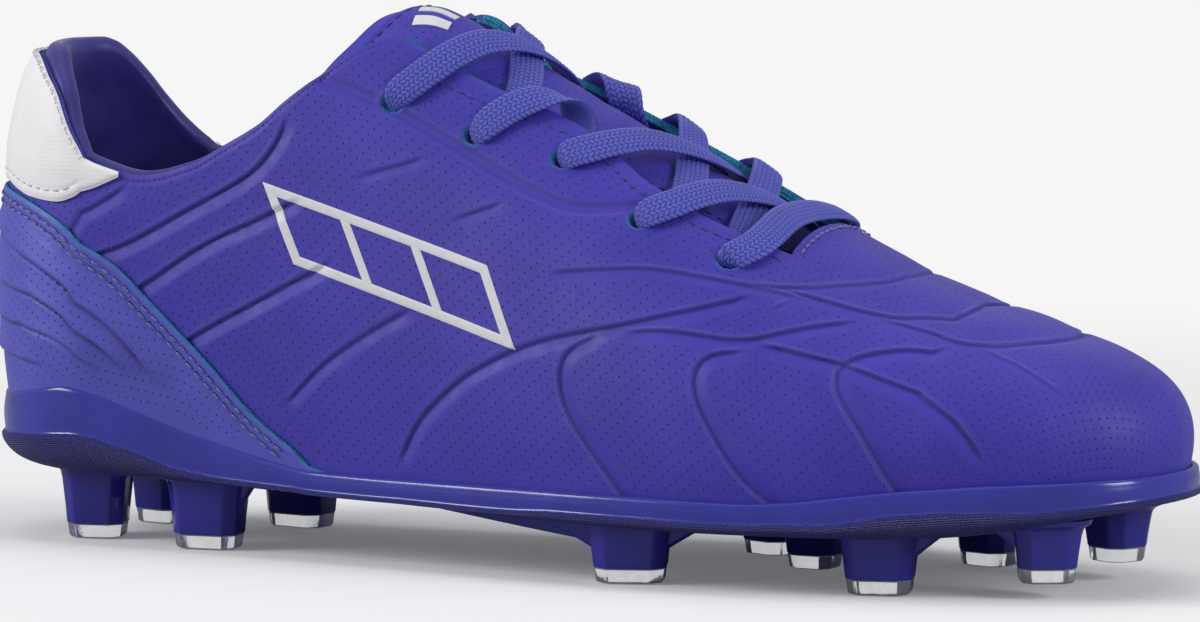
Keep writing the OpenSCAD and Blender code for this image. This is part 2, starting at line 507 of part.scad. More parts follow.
outsole_plate();
stud_tips_heel();
stud_tips_forefoot();
strobel_board();
sockliner_foam();
sockliner_cover();
upper_shell();
quarter_lining();
heel_counter();
toe_puff();
heel_overlay();
heel_tab();
collar_foam();
collar_lining();
eyestay_backing_lateral();
eyestay_backing_medial();
tongue_face();
tongue_foam();
tongue_lining();
tongue_badge();
shoelace();
lace_aglets();
side_print_lateral();
side_print_medial();
heel_stitching();
throat_stitching();
tab_stitching();
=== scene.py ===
# Low-cut football boot for the left of a table of parts: a perforated blue upper, a white heel
# tab, a woven lace and a moulded plate with clear-tipped studs.
# Shapes are in mm: x runs from the heel (0) to the toe, y is negative on the lateral (outer)
# side and positive on the medial (inner) side, z is up from the ground.
import math
from collections import namedtuple
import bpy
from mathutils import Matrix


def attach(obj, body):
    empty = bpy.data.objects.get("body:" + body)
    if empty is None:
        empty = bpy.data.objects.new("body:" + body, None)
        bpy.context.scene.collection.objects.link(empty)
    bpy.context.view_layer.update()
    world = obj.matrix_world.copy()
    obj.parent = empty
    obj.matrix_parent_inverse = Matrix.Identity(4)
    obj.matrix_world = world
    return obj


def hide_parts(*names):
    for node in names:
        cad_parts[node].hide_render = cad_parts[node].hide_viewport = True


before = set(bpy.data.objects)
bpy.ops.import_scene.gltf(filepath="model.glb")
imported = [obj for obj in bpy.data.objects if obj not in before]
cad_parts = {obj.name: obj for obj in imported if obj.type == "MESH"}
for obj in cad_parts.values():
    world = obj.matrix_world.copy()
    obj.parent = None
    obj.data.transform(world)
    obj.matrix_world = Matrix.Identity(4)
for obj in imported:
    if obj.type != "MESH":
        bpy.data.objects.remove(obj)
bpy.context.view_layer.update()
from types import SimpleNamespace
import bmesh
import bpy
import numpy as np
from mathutils import Vector

COARSE = 1      # divides the segment counts
X0 = 110.7                      # from the heel to the frame's origin
RNG = np.random.default_rng(7)
SIDES = ((-1, "lateral"), (1, "medial"))


# ------------------------------------------------------------------ numbers and curves
class Profile:
    """Smooth curve through (x, y) points that never overshoots them, level beyond its ends."""
    def __init__(self, *points):
        self.xs, self.ys = np.array(points, float).T
        steps = np.diff(self.ys) / np.diff(self.xs)
        self.slopes = np.zeros(len(self.xs))
        self.slopes[0], self.slopes[-1] = steps[0], steps[-1]
        for i, (a, b) in enumerate(zip(steps, steps[1:]), 1):
            self.slopes[i] = 0 if a * b <= 0 else 2 * a * b / (a + b)

    def __call__(self, x):
        xs, ys, slopes = self.xs, self.ys, self.slopes
        x = np.clip(np.asarray(x, float), xs[0], xs[-1])
        i = np.clip(np.searchsorted(xs, x, side="right") - 1, 0, len(xs) - 2)
        width = xs[i + 1] - xs[i]
        u = (x - xs[i]) / width
        u2, u3 = u * u, u * u * u
        return ((2*u3 - 3*u2 + 1) * ys[i] + (u3 - 2*u2 + u) * width * slopes[i]
                + (3*u2 - 2*u3) * ys[i + 1] + (u3 - u2) * width * slopes[i + 1])


class Sided:
    """A profile for each side, chosen by the sign of the first argument."""
    def __init__(self, outer, inner):
        self.outer, self.inner = Profile(*outer), Profile(*inner)

    def __call__(self, side, x):
        return np.where(np.asarray(side) < 0, self.outer(x), self.inner(x))


def smooth(x):
    x = np.clip(x, 0, 1)
    return x * x * (3 - 2 * x)

def bell(x, width, power=2):
    return np.exp(-(x / width) ** power)

def unit(vectors):
    return vectors / np.maximum(np.linalg.norm(vectors, axis=-1, keepdims=True), 1e-9)

def run_lengths(points):
    """Distance travelled at each point of a line, or of each row of a grid."""
    steps = np.linalg.norm(np.diff(points, axis=-2), axis=-1)
    return np.pad(np.cumsum(steps, -1), [(0, 0)] * (steps.ndim - 1) + [(1, 0)])

def sample(rows, knots, at):
    """Rows interpolated at a distance or a list of distances."""
    return np.stack([np.interp(at, knots, column) for column in rows.T], -1)

def resample(points, step):
    knots = run_lengths(points)
    count = max(3, int(round(knots[-1] / step)))
    return sample(points, knots, np.linspace(0, knots[-1], count + 1))

def blur(points, sigma):
    """Gaussian smoothing of evenly spaced points, with fixed ends."""
    n = min(int(3 * sigma) + 1, len(points) - 1)
    kernel = np.exp(-0.5 * (np.arange(-n, n + 1) / sigma) ** 2)
    kernel /= kernel.sum()
    longer = np.concatenate([2 * points[0] - points[n:0:-1], points,
                             2 * points[-1] - points[-2:-n - 2:-1]])
    return np.stack([np.convolve(column, kernel, "valid") for column in longer.T], -1)


# ------------------------------------------------------------------ shape of the last
# A place on the last is a way and a climb. The way runs round it: 0 at the back of the heel,
# 1 to 2 along the side, 3 at the tip of the toe, negative on the lateral side. The climb is an
# angle from 0 at the rim to 90 on the ridge; below 0 it is mm below the rim.
HEEL_X, TOE_X, THROAT_X, CROWN_X = 26.0, 186.0, 158.0, 83.0
# half width over x
HALF = Sided([(26,27),(45,26.3),(70,27.2),(95,29.5),(115,32.5),(135,35.5),(150,36.6),(165,35.8),
              (178,33.3),(186,31.5)],
             [(26,27),(45,26),(70,25.2),(95,26.8),(115,29.6),(135,33),(155,35),(170,33.8),(186,31)])
# radius of the heel and toe over the angle from the long axis
HEEL_REACH = Profile((0,26.8), (90,27))
TOE_REACH = Sided([(0,36),(20,34.8),(45,31.8),(70,30.3),(90,31.5)],
                  [(0,36),(20,35.7),(45,33.5),(70,30.6),(90,31)])
# heights over x
RIDGE_Z = Profile((0,96.5), (26,96.5), (50,105), (65,105), (80,101.5), (100,91.5), (120,81),
                  (140,70), (158,59.5), (175,51.3), (186,47.3))
RIM_Z = Profile((0,25.5), (8,26), (15,27), (22,28), (28,27), (36,24.5), (45,21.6), (54,19.3),
                (64,17), (73,15.6), (90,15.3), (137,15.4), (156,15.3), (165,15.8), (175,17.1),
                (185,18.3), (200,19.5), (222,20.3))
UNDER_Z = Profile((0,14.5), (8,12.8), (60,12), (100,11), (140,10), (180,10), (195,10.8),
                  (207,12.4), (222,15))
# exponent of the superellipse section, and inward tuck at the rim, over x
DOME_POWER = Profile((0,3.2), (26,3), (60,2.5), (90,2.2), (120,2.1), (150,2.15), (175,2.3),
                     (200,2.5), (222,2.5))
TUCK = Profile((0,1.6), (40,1.4), (80,0.9), (150,0.7), (222,0.9))
# height of the topline over the way; both sides share the rise to the crown
TO_CROWN = [(1.13,67.8),(1.17,71.2),(1.21,75.2),(1.24,79.4),(1.28,84.3),(1.32,88.8),(1.3563,91)]
COLLAR = Sided([(0,86),(0.4,85.8),(0.53,85),(0.73,81.3),(0.81,78.8),(0.86,76.2),(0.92,72.8),
                (0.98,69.8),(1.02,67.3),(1.07,65.6)] + TO_CROWN,
               [(0,86),(0.3,86),(0.41,85.2),(0.53,82.8),(0.65,79),(0.75,74.8),(0.85,71),
                (0.96,68),(1.07,65.8)] + TO_CROWN)
# half width of the lace opening over x
THROAT = Sided([(83,14.8),(100,15),(116,14.4),(124,15.6),(132,17.8),(142,18.6),(150,18),
                (158,16.5),(186,14)],
               [(83,14.3),(100,12.6),(116,12.2),(132,12.6),(150,13.2),(158,13),(186,14)])
# height over the way of the heel overlay's top edge and of the tab's lower edge
OVERLAY = Profile((0,62.6), (0.3,62.4), (0.55,61.6), (0.7,60.4), (0.86,58), (0.98,54.6),
                  (1.04,50.4), (1.09,43.5), (1.15,35), (1.225,23.8), (1.285,17.6))
TAB_LOW = Profile((0,63.4), (0.45,63.4), (0.59,62.3), (0.71,61.2), (0.88,60.6), (0.97,61.6),
                  (1.01,62.9), (1.045,65.2))

def wrapped(way):
    way = np.asarray(way, float)
    return np.where(way > 3, way - 6, np.where(way < -3, way + 6, way))

def x_of(dist):
    return HEEL_X + (TOE_X - HEEL_X) * np.clip(np.asarray(dist, float) - 1, 0, 1)

def way_at(x):
    return 1 + (np.asarray(x, float) - HEEL_X) / (TOE_X - HEEL_X)

def mid(x):
    """y of the centre line, which bends to the medial side at the front."""
    return np.where(np.asarray(x) < 110, 0.0, 1.5 * (np.asarray(x) - 110) / 76)

def section(way):
    """Upright half section at a way: its foot on the axis, its direction and its reach."""
    way = wrapped(way)
    dist = np.abs(way)
    side = np.where(way < 0, -1.0, 1.0)
    x = x_of(dist)
    turn = (3 - dist) * 90
    reach = np.where(dist < 1, HEEL_REACH(dist * 90), HALF(side, x))
    reach = np.where(dist > 2, TOE_REACH(side, turn), reach)
    heel, toe = np.radians(np.clip(dist, 0, 1) * 90), np.radians(np.clip(turn, 0, 90))
    dx = np.where(dist < 1, -np.cos(heel), np.where(dist > 2, np.cos(toe), 0.0))
    dy = np.where(dist < 1, np.sin(heel), np.where(dist > 2, np.sin(toe), 1.0)) * side
    return SimpleNamespace(dist=dist, side=side, x=x, reach=reach, dx=dx, dy=dy,
                           wall_x=x + dx * reach)

def on_last(way, climb):
    way, climb = np.broadcast_arrays(np.asarray(way, float), np.asarray(climb, float))
    sec = section(way)
    rim, tuck = RIM_Z(sec.wall_x), TUCK(sec.wall_x)
    power = DOME_POWER(sec.wall_x)
    angle = np.radians(np.clip(climb, 0, 90))
    across, rise = np.where(climb >= 90, 0.0, np.cos(angle)), np.sin(angle)
    scale = (across**power + rise**power) ** (1 / power)
    across, rise = across / scale, rise / scale
    foot = np.clip(1 - climb / 20, 0, 1)
    radius = sec.reach * across - tuck * foot * foot
    lean = np.where(sec.dist > 2, -0.3 * sec.dx * radius * (1 - across * across), 0.0)
    z = rim + (RIDGE_Z(sec.x) - rim) * rise + lean
    low = climb <= 0
    radius = np.where(low, sec.reach - tuck, radius)
    z = np.where(low, rim + climb, z)
    x, y = sec.x + sec.dx * radius, mid(sec.x) + sec.dy * radius
    # the medial flap of the opening stands up a little at its top
    z = z + 5.4 * bell(x - 87.5, 7.5) * smooth((y - 10.5) / 4.5) * smooth((z - 70) / 12)
    return np.stack([x, y, z], -1)

def normal(way, climb):
    way, climb = np.broadcast_arrays(np.asarray(way, float), np.asarray(climb, float))
    along = on_last(way + 0.004, climb) - on_last(way - 0.004, climb)
    up = on_last(way, np.minimum(climb + 0.4, 90)) - on_last(way, climb - 0.4)
    x = x_of(np.abs(wrapped(way)))
    slope = (RIDGE_Z(x + 1) - RIDGE_Z(x - 1)) / 2
    ridge = unit(np.stack([-slope, 0 * x, 1 + 0 * x], -1))
    share = smooth((climb - 84) / 6)[..., None]
    return unit(unit(-np.cross(along, up)) * (1 - share) + ridge * share)

def lifted(way, climb, out):
    """Point a distance off the last, along its normal."""
    return on_last(way, climb) + np.asarray(out, float)[..., None] * normal(way, climb)

def climb_z(way, z):
    sec = section(way)
    rim, power = RIM_Z(sec.wall_x), DOME_POWER(sec.wall_x)
    rise = (z - rim) / (RIDGE_Z(sec.x) - rim)
    inside = np.clip(rise, 0, 1)
    angle = np.degrees(np.arctan2(inside, (1 - inside**power) ** (1 / power)))
    return np.where(rise <= 0, z - rim, angle)

def climb_y(way, y):
    sec = section(way)
    power = DOME_POWER(sec.wall_x)
    across = np.clip(np.abs(y) / sec.reach, 0, 1)
    return np.degrees(np.arctan2((1 - across**power) ** (1 / power), across))

def at_xy(x, y):
    way = np.where(np.asarray(y) < 0, -1.0, 1.0) * way_at(x)
    return way, climb_y(way, y)

def lifted_xy(x, y, out):
    return lifted(*at_xy(x, y), out)

def normal_xy(x, y):
    return normal(*at_xy(x, y))

def rim_z(way):
    return RIM_Z(section(way).wall_x)

def under_z(way):
    return UNDER_Z(section(way).wall_x)

def floor_z(way):
    """Lower edge of the upper, inside the plate."""
    return under_z(way) + 2.45

def edge_climb(way):
    """Climb of the upper's free edge: collar, then lace opening, then a fixed line at the toe."""
    sec = section(way)
    collar = climb_z(way, COLLAR(sec.side, sec.dist))
    throat = climb_y(way, THROAT(sec.side, sec.x))
    toe = climb_y(sec.side * 2.0, 14.0)
    return np.where(sec.dist <= way_at(CROWN_X), collar, np.where(sec.dist <= 2, throat, toe))


# ------------------------------------------------------------------ mesh helpers
def vertex_ids(rows, cols):
    return np.arange(rows * cols).reshape(rows, cols)

def quads(ids, closed_rows=False, closed_cols=False, across=False):
    """Quads between neighbours in a 2D array of vertex numbers; across turns them over."""
    if closed_rows:
        ids = np.concatenate([ids, ids[:1]])
    if closed_cols:
        ids = np.concatenate([ids, ids[:, :1]], 1)
    corners = [ids[:-1, :-1], ids[1:, :-1], ids[1:, 1:], ids[:-1, 1:]]
    if across:
        corners = [corners[k] for k in (0, 3, 2, 1)]
    return np.stack(corners, -1).reshape(-1, 4)

def end_caps(rings, size):
    return [list(range(size))[::-1], [(rings - 1) * size + j for j in range(size)]]

def tube(rings):
    """Solid through rings of equal length. Returns vertices and faces."""
    rings = np.asarray(rings, float)
    count, size = rings.shape[:2]
    faces = quads(vertex_ids(count, size), closed_cols=True, across=True).tolist()
    return rings.reshape(-1, 3), faces + end_caps(count, size)

def oval(centre, radius, across, up, count):
    turn = (np.arange(count) * 2 * math.pi / count)[:, None]
    return centre + radius * (np.cos(turn) * across + np.sin(turn) * up)

def slab(top, back, on=None, closed=False, stride=1):
    """Closed sheet between two parallel grids, cut out by the cell mask on.

    The back keeps every stride-th row and column. Returns the vertices, the faces and a number
    for each face: 0 top, 1 back, 2 cut edge.
    """
    rows, cols = top.shape[:2]
    if on is None:
        on = np.ones((rows - 1, cols - 1), bool)
    back = back[::stride, ::stride]
    back_rows, back_cols = back.shape[:2]
    back_on = on[::stride, ::stride][:back_rows if closed else back_rows - 1, :back_cols - 1]
    ids = vertex_ids(rows, cols)
    back_ids = rows * cols + vertex_ids(back_rows, back_cols)
    solid = np.pad(back_on, 1)
    if closed:
        ids = np.concatenate([ids, ids[:1]])
        back_ids = np.concatenate([back_ids, back_ids[:1]])
        solid[0], solid[-1] = solid[-2].copy(), solid[1].copy()
    faces = quads(ids)[on.reshape(-1)].tolist()
    parts = [0] * len(faces)
    faces += quads(back_ids)[:, ::-1][back_on.reshape(-1)].tolist()
    parts += [1] * (len(faces) - len(parts))
    for i, j in np.argwhere(back_on):
        a, b = i * stride, j * stride
        block = ids[a:a + stride + 1, b:b + stride + 1]
        rear = back_ids[i:i + 2, j:j + 2]
        for neighbour, edge, rear_edge in (((i + 1, j), block[::-1, 0], rear[:, 0]),
                                           ((i + 1, j + 2), block[:, -1], rear[::-1, 1]),
                                           ((i, j + 1), block[0], rear[0, ::-1]),
                                           ((i + 2, j + 1), block[-1, ::-1], rear[1])):
            if not solid[neighbour]:
                faces.append(edge.tolist() + rear_edge.tolist())
                parts.append(2)
    return np.concatenate([top.reshape(-1, 3), back.reshape(-1, 3)]), faces, parts

def merge(parts):
    verts, faces, count = [], [], 0
    for part_verts, part_faces in parts:
        verts.append(part_verts)
        faces += [[k + count for k in face] for face in part_faces]
        count += len(part_verts)
    return np.concatenate(verts), faces

def build(name, verts, faces, mats, slot, replaces="", body="boot", face_mats=None, uv=None,
          attrs=None, sharp=None, weld=True):
    """Object from points in mm. mats and replaces list names with spaces between them.

    UVs and attributes may cover the first vertices only; the others get zero.
    """
    mesh = bpy.data.meshes.new(name)
    metres = np.array(verts, float)
    metres[:, 0] -= X0
    mesh.from_pydata((metres * 0.001).tolist(), [], faces)
    for key in mats.split():
        mesh.materials.append(MAT[key])
    if face_mats is not None:
        mesh.polygons.foreach_set("material_index", np.asarray(face_mats, np.int32))
    if uv is not None:
        corners = np.empty(len(mesh.loops), np.int32)
        mesh.loops.foreach_get("vertex_index", corners)
        full = np.zeros((len(verts), 2), np.float32)
        full[:uv.size // 2] = uv.reshape(-1, 2)
        mesh.uv_layers.new(name="UVMap").data.foreach_set("uv", full[corners].ravel())
    for key, values in (attrs or {}).items():
        full = np.zeros(len(verts), np.float32)
        full[:np.size(values)] = np.ravel(values)
        mesh.attributes.new(key, "FLOAT", "POINT").data.foreach_set("value", full)
    bm = bmesh.new()
    bm.from_mesh(mesh)
    if weld:
        bmesh.ops.remove_doubles(bm, verts=bm.verts, dist=2e-6)
    bmesh.ops.recalc_face_normals(bm, faces=bm.faces)
    bm.to_mesh(mesh)
    bm.free()
    mesh.polygons.foreach_set("use_smooth", np.ones(len(mesh.polygons), bool))
    if sharp is not None:
        mesh.set_sharp_from_angle(angle=math.radians(sharp))
    mesh.update()
    obj = bpy.data.objects.new(name, mesh)
    bpy.context.scene.collection.objects.link(obj)
    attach(obj, body)
    if replaces:
        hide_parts(*replaces.split())

def stitches(line, normals, length, gap, radius, lift):
    """A row of thread stitches, each an arched capsule, along a line with its normals."""
    knots = run_lengths(line)
    parts, start = [], gap
    while start + length < knots[-1]:
        sway = RNG.normal(0, 0.05, 2)
        rings = []
        for share, size in ((0, .35), (.12, .85), (.35, 1), (.65, 1), (.88, .85), (1, .35)):
            at = start + share * length
            ahead = unit(sample(line, knots, at + 0.05) - sample(line, knots, at - 0.05))
            out = unit(sample(normals, knots, at))
            side = np.cross(out, ahead)
            height = lift * math.sin(math.pi * share) ** 0.5 - (0.2 if share in (0, 1) else 0)
            centre = (sample(line, knots, at) + out * height
                      + side * (sway[0] * (1 - share) + sway[1] * share))
            rings.append(oval(centre, radius * size, side * 1.15, out, count=6))
        parts.append(tube(rings))
        start += length + gap
    return parts


# ------------------------------------------------------------------ material helper
class Material:
    """Principled material with short ways to add nodes; texture lengths are in mm."""
    def __init__(self, name, color, rough, spec=0.5):
        self.data = bpy.data.materials.new(name)
        self.data.use_nodes = True
        self.tree = self.data.node_tree
        self.tree.nodes.clear()
        self.output = self.node("OutputMaterial")
        self.shader = self.node("BsdfPrincipled")
        self.put(self.output.inputs[0], self.shader.outputs[0])
        self.set(base_color=color, roughness=rough, specular_ior_level=spec)
        self.data.diffuse_color = (*color, 1)
        self.place = None

    def node(self, kind, **settings):
        node = self.tree.nodes.new("ShaderNode" + kind)
        for key, value in settings.items():
            setattr(node, key, value)
        return node

    def put(self, socket, value):
        """Links a socket, or sets its value."""
        if isinstance(value, bpy.types.NodeSocket):
            self.tree.links.new(value, socket)
        elif socket.type == "RGBA" and len(value) == 3:
            socket.default_value = (*value, 1)
        else:
            socket.default_value = value

    def set(self, **values):
        """Sets inputs of the shader by name and returns the material."""
        for key, value in values.items():
            label = key.replace("_", " ").title().replace("Ior", "IOR")
            self.put(self.shader.inputs[label], value)
        return self.data

    def math(self, operation, a, b=0.0, c=0.0):
        node = self.node("Math", operation=operation)
        for socket, value in zip(node.inputs, (a, b, c)):
            self.put(socket, value)
        return node.outputs[0]

    def mix(self, share, first, second):
        node = self.node("Mix", data_type="RGBA")
        for k, value in ((0, share), (6, first), (7, second)):
            self.put(node.inputs[k], value)
        return node.outputs[2]

    def ramp(self, value, low, high, start=0.0, end=1.0):
        node = self.node("MapRange", interpolation_type="SMOOTHSTEP")
        for k, item in enumerate((value, low, high, start, end)):
            self.put(node.inputs[k], item)
        return node.outputs[0]

    def mottle(self, value, dark, light, low=0.3, high=0.7):
        return self.mix(self.ramp(value, low, high), dark, light)

    def tint(self, color, other, mask, strength):
        return self.mix(self.math("MULTIPLY", mask, strength), color, other)

    def vec(self):
        if self.place is None:
            node = self.node("VectorMath", operation="SCALE")
            self.put(node.inputs[0], self.node("TexCoord").outputs["Object"])
            node.inputs["Scale"].default_value = 1000
            self.place = node.outputs[0]
        return self.place

    def noise(self, scale, detail=2.0, rough=0.5, stretch=None):
        node = self.node("TexNoise")
        vector = self.vec()
        if stretch:
            scaled = self.node("VectorMath", operation="MULTIPLY")
            self.put(scaled.inputs[0], vector)
            scaled.inputs[1].default_value = stretch
            vector = scaled.outputs[0]
        self.put(node.inputs["Vector"], vector)
        for key, value in (("Scale", scale), ("Detail", detail), ("Roughness", rough)):
            node.inputs[key].default_value = value
        return node.outputs[0]

    def attr(self, name):
        return self.node("Attribute", attribute_name=name).outputs["Fac"]

    def split(self, vector):
        node = self.node("SeparateXYZ")
        self.put(node.inputs[0], vector)
        return node.outputs

    def uv(self):
        return self.split(self.node("UVMap").outputs[0])[:2]

    def bump(self, height, dist, strength, normal=None):
        node = self.node("Bump")
        self.put(node.inputs["Height"], height)
        node.inputs["Distance"].default_value = dist * 0.001
        node.inputs["Strength"].default_value = strength
        if normal is not None:
            self.put(node.inputs["Normal"], normal)
        return node.outputs[0]

    def grain(self, scale, dist, strength):
        """Fine leather-like grain."""
        noise = self.noise(scale, detail=3, rough=0.6)
        cells = self.node("TexVoronoi")
        self.put(cells.inputs["Vector"], self.vec())
        cells.inputs["Scale"].default_value = scale * 1.6
        height = self.math("ADD", noise, self.math("MULTIPLY", cells.outputs[0], 0.5))
        return self.bump(height, dist, strength)

    def waves(self, u, v, pace_u, pace_v):
        """Product of two slanted sine waves, which makes a diamond pattern."""
        sines = [self.math("SINE", self.math("MULTIPLY_ADD", u, pace_u,
                                             self.math("MULTIPLY", v, pace)))
                 for pace in (pace_v, -pace_v)]
        return self.math("MULTIPLY", *sines)

    def dots(self, pitch_u, pitch_v, radius, turn, soft):
        """1 in the holes of a staggered perforation, turned by an angle in radians."""
        u, v = self.uv()
        cos, sin = math.cos(turn), math.sin(turn)
        axes = [(self.math("MULTIPLY_ADD", u, a, self.math("MULTIPLY", v, b)), pitch)
                for a, b, pitch in ((cos / pitch_u, -sin / pitch_u, pitch_u),
                                    (sin / pitch_v, cos / pitch_v, pitch_v))]
        dists = []
        for shift in (0.0, 0.5):
            x, y = (self.math("MULTIPLY", self.math("SUBTRACT", self.math(
                "FRACT", self.math("ADD", axis, shift + 50)), 0.5), pitch)
                for axis, pitch in axes)
            square = self.math("MULTIPLY_ADD", x, x, self.math("MULTIPLY", y, y))
            dists.append(self.math("SQRT", square))
        return self.ramp(self.math("MINIMUM", *dists), radius + soft, radius - soft)


def shade(color, factor, add=0.0):
    return tuple(min(1, c * factor + add) for c in color)


# ------------------------------------------------------------------ materials
BLUE = (0.060, 0.046, 0.45)
PLATE_BLUE = (0.042, 0.043, 0.38)
STUD_BLUE = (0.030, 0.028, 0.34)
MAT = {}

def skin(name, base=BLUE, rough=0.52):
    """Coated synthetic leather, perforated, with painted light: the lips of the pressed lines are
    painted a little lighter as a highlight, with painted shade in the creases, in the eyelets, under
    the pleats and in the perforation holes.
    """
    m = Material(name, base, rough, spec=0.35)
    col = m.mottle(m.noise(scale=0.05, detail=3), shade(base, 0.93), shade(base, 1.07))
    fine = m.ramp(m.noise(scale=0.9, rough=0.6), low=0.55, high=0.8)
    col = m.tint(col, shade(base, 1.35, add=0.01), fine, strength=0.18)
    specks = m.ramp(m.noise(scale=2.2, detail=1), low=0.76, high=0.84)
    col = m.tint(col, (0.32, 0.32, 0.62), specks, strength=0.35)
    # painted highlight: the lips of the pressed lines are painted lighter
    col = m.tint(col, (0.20, 0.19, 0.62), m.attr("lip"), strength=0.28)
    col = m.mix(m.attr("teal"), col, (0.018, 0.23, 0.42))
    # painted shade: dark in the creases of the pressed lines, in the eyelet holes and under the
    # pleats
    col = m.mix(m.attr("painted_shade"), col, (0.006, 0.008, 0.03))
    dots = m.dots(pitch_u=2.55, pitch_v=2.15, radius=0.155, turn=0.21, soft=0.07)
    dots = m.math("MULTIPLY", dots, m.attr("dots"))
    # painted shade: each perforation is a near-black dot, for the shade in the hole over the dark
    # lining behind it
    col = m.tint(col, (0.010, 0.009, 0.085), dots, strength=0.8)
    grain = m.grain(scale=1.5, dist=0.045, strength=0.55)
    gloss = m.ramp(m.noise(scale=0.35, detail=3, rough=0.6), low=0.2, high=0.8,
                   start=rough - 0.05, end=rough + 0.08)
    return m.set(base_color=col, roughness=gloss, sheen_weight=0.12, sheen_roughness=0.4,
                 normal=m.bump(m.math("SUBTRACT", 1.0, dots), dist=0.22, strength=0.8,
                               normal=grain))

def fibrous(name, base, dark, light, rough, spec, scale, dist, strength, detail=2, fine=0.6,
            low=0.3, sheen=0.0):
    """One noise gives both the mottled colour and the relief."""
    m = Material(name, base, rough, spec)
    noise = m.noise(scale, detail, fine)
    return m.set(base_color=m.mottle(noise, dark, light, low), sheen_weight=sheen,
                 normal=m.bump(noise, dist, strength))

def cut_edge(name, base, dark, light, **looks):
    return fibrous(name, base, dark, light, detail=3, fine=0.7, low=0.35, **looks)

def satin():
    """Fine ribs and a soft sheen."""
    m = Material("satin_lining", (0.035, 0.03, 0.25), rough=0.42, spec=0.45)
    ribs = m.noise(scale=1.2, detail=3, rough=0.6, stretch=(0.35, 1, 3))
    col = m.mottle(m.noise(scale=0.12), (0.030, 0.025, 0.215), (0.045, 0.038, 0.28))
    return m.set(base_color=col, normal=m.bump(ribs, dist=0.06, strength=0.7),
                 sheen_weight=0.35, sheen_roughness=0.35)

def white_leather():
    m = Material("white_leather", (0.84, 0.83, 0.86), rough=0.5, spec=0.4)
    noise = m.noise(scale=0.25, detail=3, rough=0.6)
    col = m.mottle(noise, (0.955, 0.945, 0.965), (0.985, 0.98, 0.99), high=0.75)
    x, y, z = m.split(m.vec())
    round_heel = m.math("SUBTRACT", x, m.math("MULTIPLY", y, 0.8))
    weave = m.waves(round_heel, z, pace_u=3.4, pace_v=4.4)
    grain = m.grain(scale=1.3, dist=0.05, strength=0.45)
    return m.set(base_color=col, normal=m.bump(weave, dist=0.018, strength=0.6, normal=grain))

def white_print():
    m = Material("white_print", (0.86, 0.86, 0.88), rough=0.45, spec=0.4)
    noise = m.noise(scale=1.1, detail=3, rough=0.6)
    col = m.mottle(noise, (0.84, 0.84, 0.87), (0.78, 0.78, 0.82), low=0.4, high=0.75)
    return m.set(base_color=col, normal=m.grain(scale=1.5, dist=0.04, strength=0.5))

def needle_hole_shade():
    # near-black: painted shade inside the needle holes
    m = Material("needle_hole_shade", (0.004, 0.005, 0.02), rough=0.9, spec=0.1)
    return m.set(base_color=m.mix(m.noise(scale=2), (0.003, 0.004, 0.018),
                                  (0.007, 0.008, 0.03)))

def plastic(name, base):
    """Glossy plastic: the material, its colour noise and its faint relief."""
    m = Material(name, base, rough=0.16)
    m.set(coat_weight=0.25, coat_roughness=0.06)
    return m, m.noise(scale=0.08, detail=3), m.bump(m.noise(scale=0.5), dist=0.05, strength=0.25)

def plate_plastic():
    """Glossy, with a dull diamond knurl where the attribute asks for it."""
    m, noise, relief = plastic("plate_tpu", PLATE_BLUE)
    knurl = m.attr("knurl")
    height = m.math("MULTIPLY_ADD", m.waves(*m.uv(), pace_u=7.2, pace_v=7.8), 0.5, 0.5)
    height = m.math("MULTIPLY", height, knurl)
    col = m.mottle(noise, shade(PLATE_BLUE, 0.92), shade(PLATE_BLUE, 1.08))
    col = m.tint(col, shade(PLATE_BLUE, 0.25), knurl, strength=0.85)
    # painted highlight: the raised diamonds of the knurl are painted lighter than its grooves
    col = m.tint(col, shade(PLATE_BLUE, 1.3, add=0.01), height, strength=0.35)
    return m.set(base_color=col,
                 normal=m.bump(height, dist=0.30, strength=1.0, normal=relief),
                 roughness=m.ramp(knurl, low=0, high=1, start=0.21, end=0.46),
                 coat_weight=m.ramp(knurl, low=0, high=1, start=0.2, end=0.02))

def stud_plastic():
    m, noise, relief = plastic("stud_tpu", STUD_BLUE)
    return m.set(base_color=m.mottle(noise, shade(STUD_BLUE, 0.9), shade(STUD_BLUE, 1.1)),
                 normal=relief)

def clear_plastic():
    m = Material("clear_tpu", (0.88, 0.89, 0.90), rough=0.06)
    noise = m.noise(scale=0.7)
    return m.set(base_color=m.mottle(noise, (0.84, 0.85, 0.865), (0.93, 0.935, 0.94)),
                 transmission_weight=0.80, ior=1.46,
                 roughness=m.ramp(noise, low=0.2, high=0.8, start=0.05, end=0.16),
                 normal=m.bump(noise, dist=0.12, strength=0.4))

def lace_end():
    m = Material("lace_end_film", (0.03, 0.027, 0.2), rough=0.2)
    noise = m.noise(scale=1.2)
    return m.set(base_color=m.mix(noise, (0.025, 0.022, 0.17), (0.04, 0.035, 0.24)),
                 normal=m.bump(noise, dist=0.05, strength=0.5))

def woven_lace():
    m = Material("woven_lace", (0.135, 0.142, 0.59), rough=0.62, spec=0.3)
    fuzz = m.noise(scale=3.0, detail=3, rough=0.7)
    # painted shade and highlight: the braid is painted darker where its strands dip and lighter on
    # their crowns
    col = m.mottle(m.attr("relief"), (0.045, 0.046, 0.30), (0.125, 0.138, 0.66),
                   low=0.0, high=0.6)
    col = m.tint(col, (0.19, 0.21, 0.66), m.ramp(fuzz, low=0.5, high=0.8), strength=0.35)
    return m.set(base_color=col, normal=m.bump(fuzz, dist=0.10, strength=0.9),
                 sheen_weight=0.25, sheen_roughness=0.4)

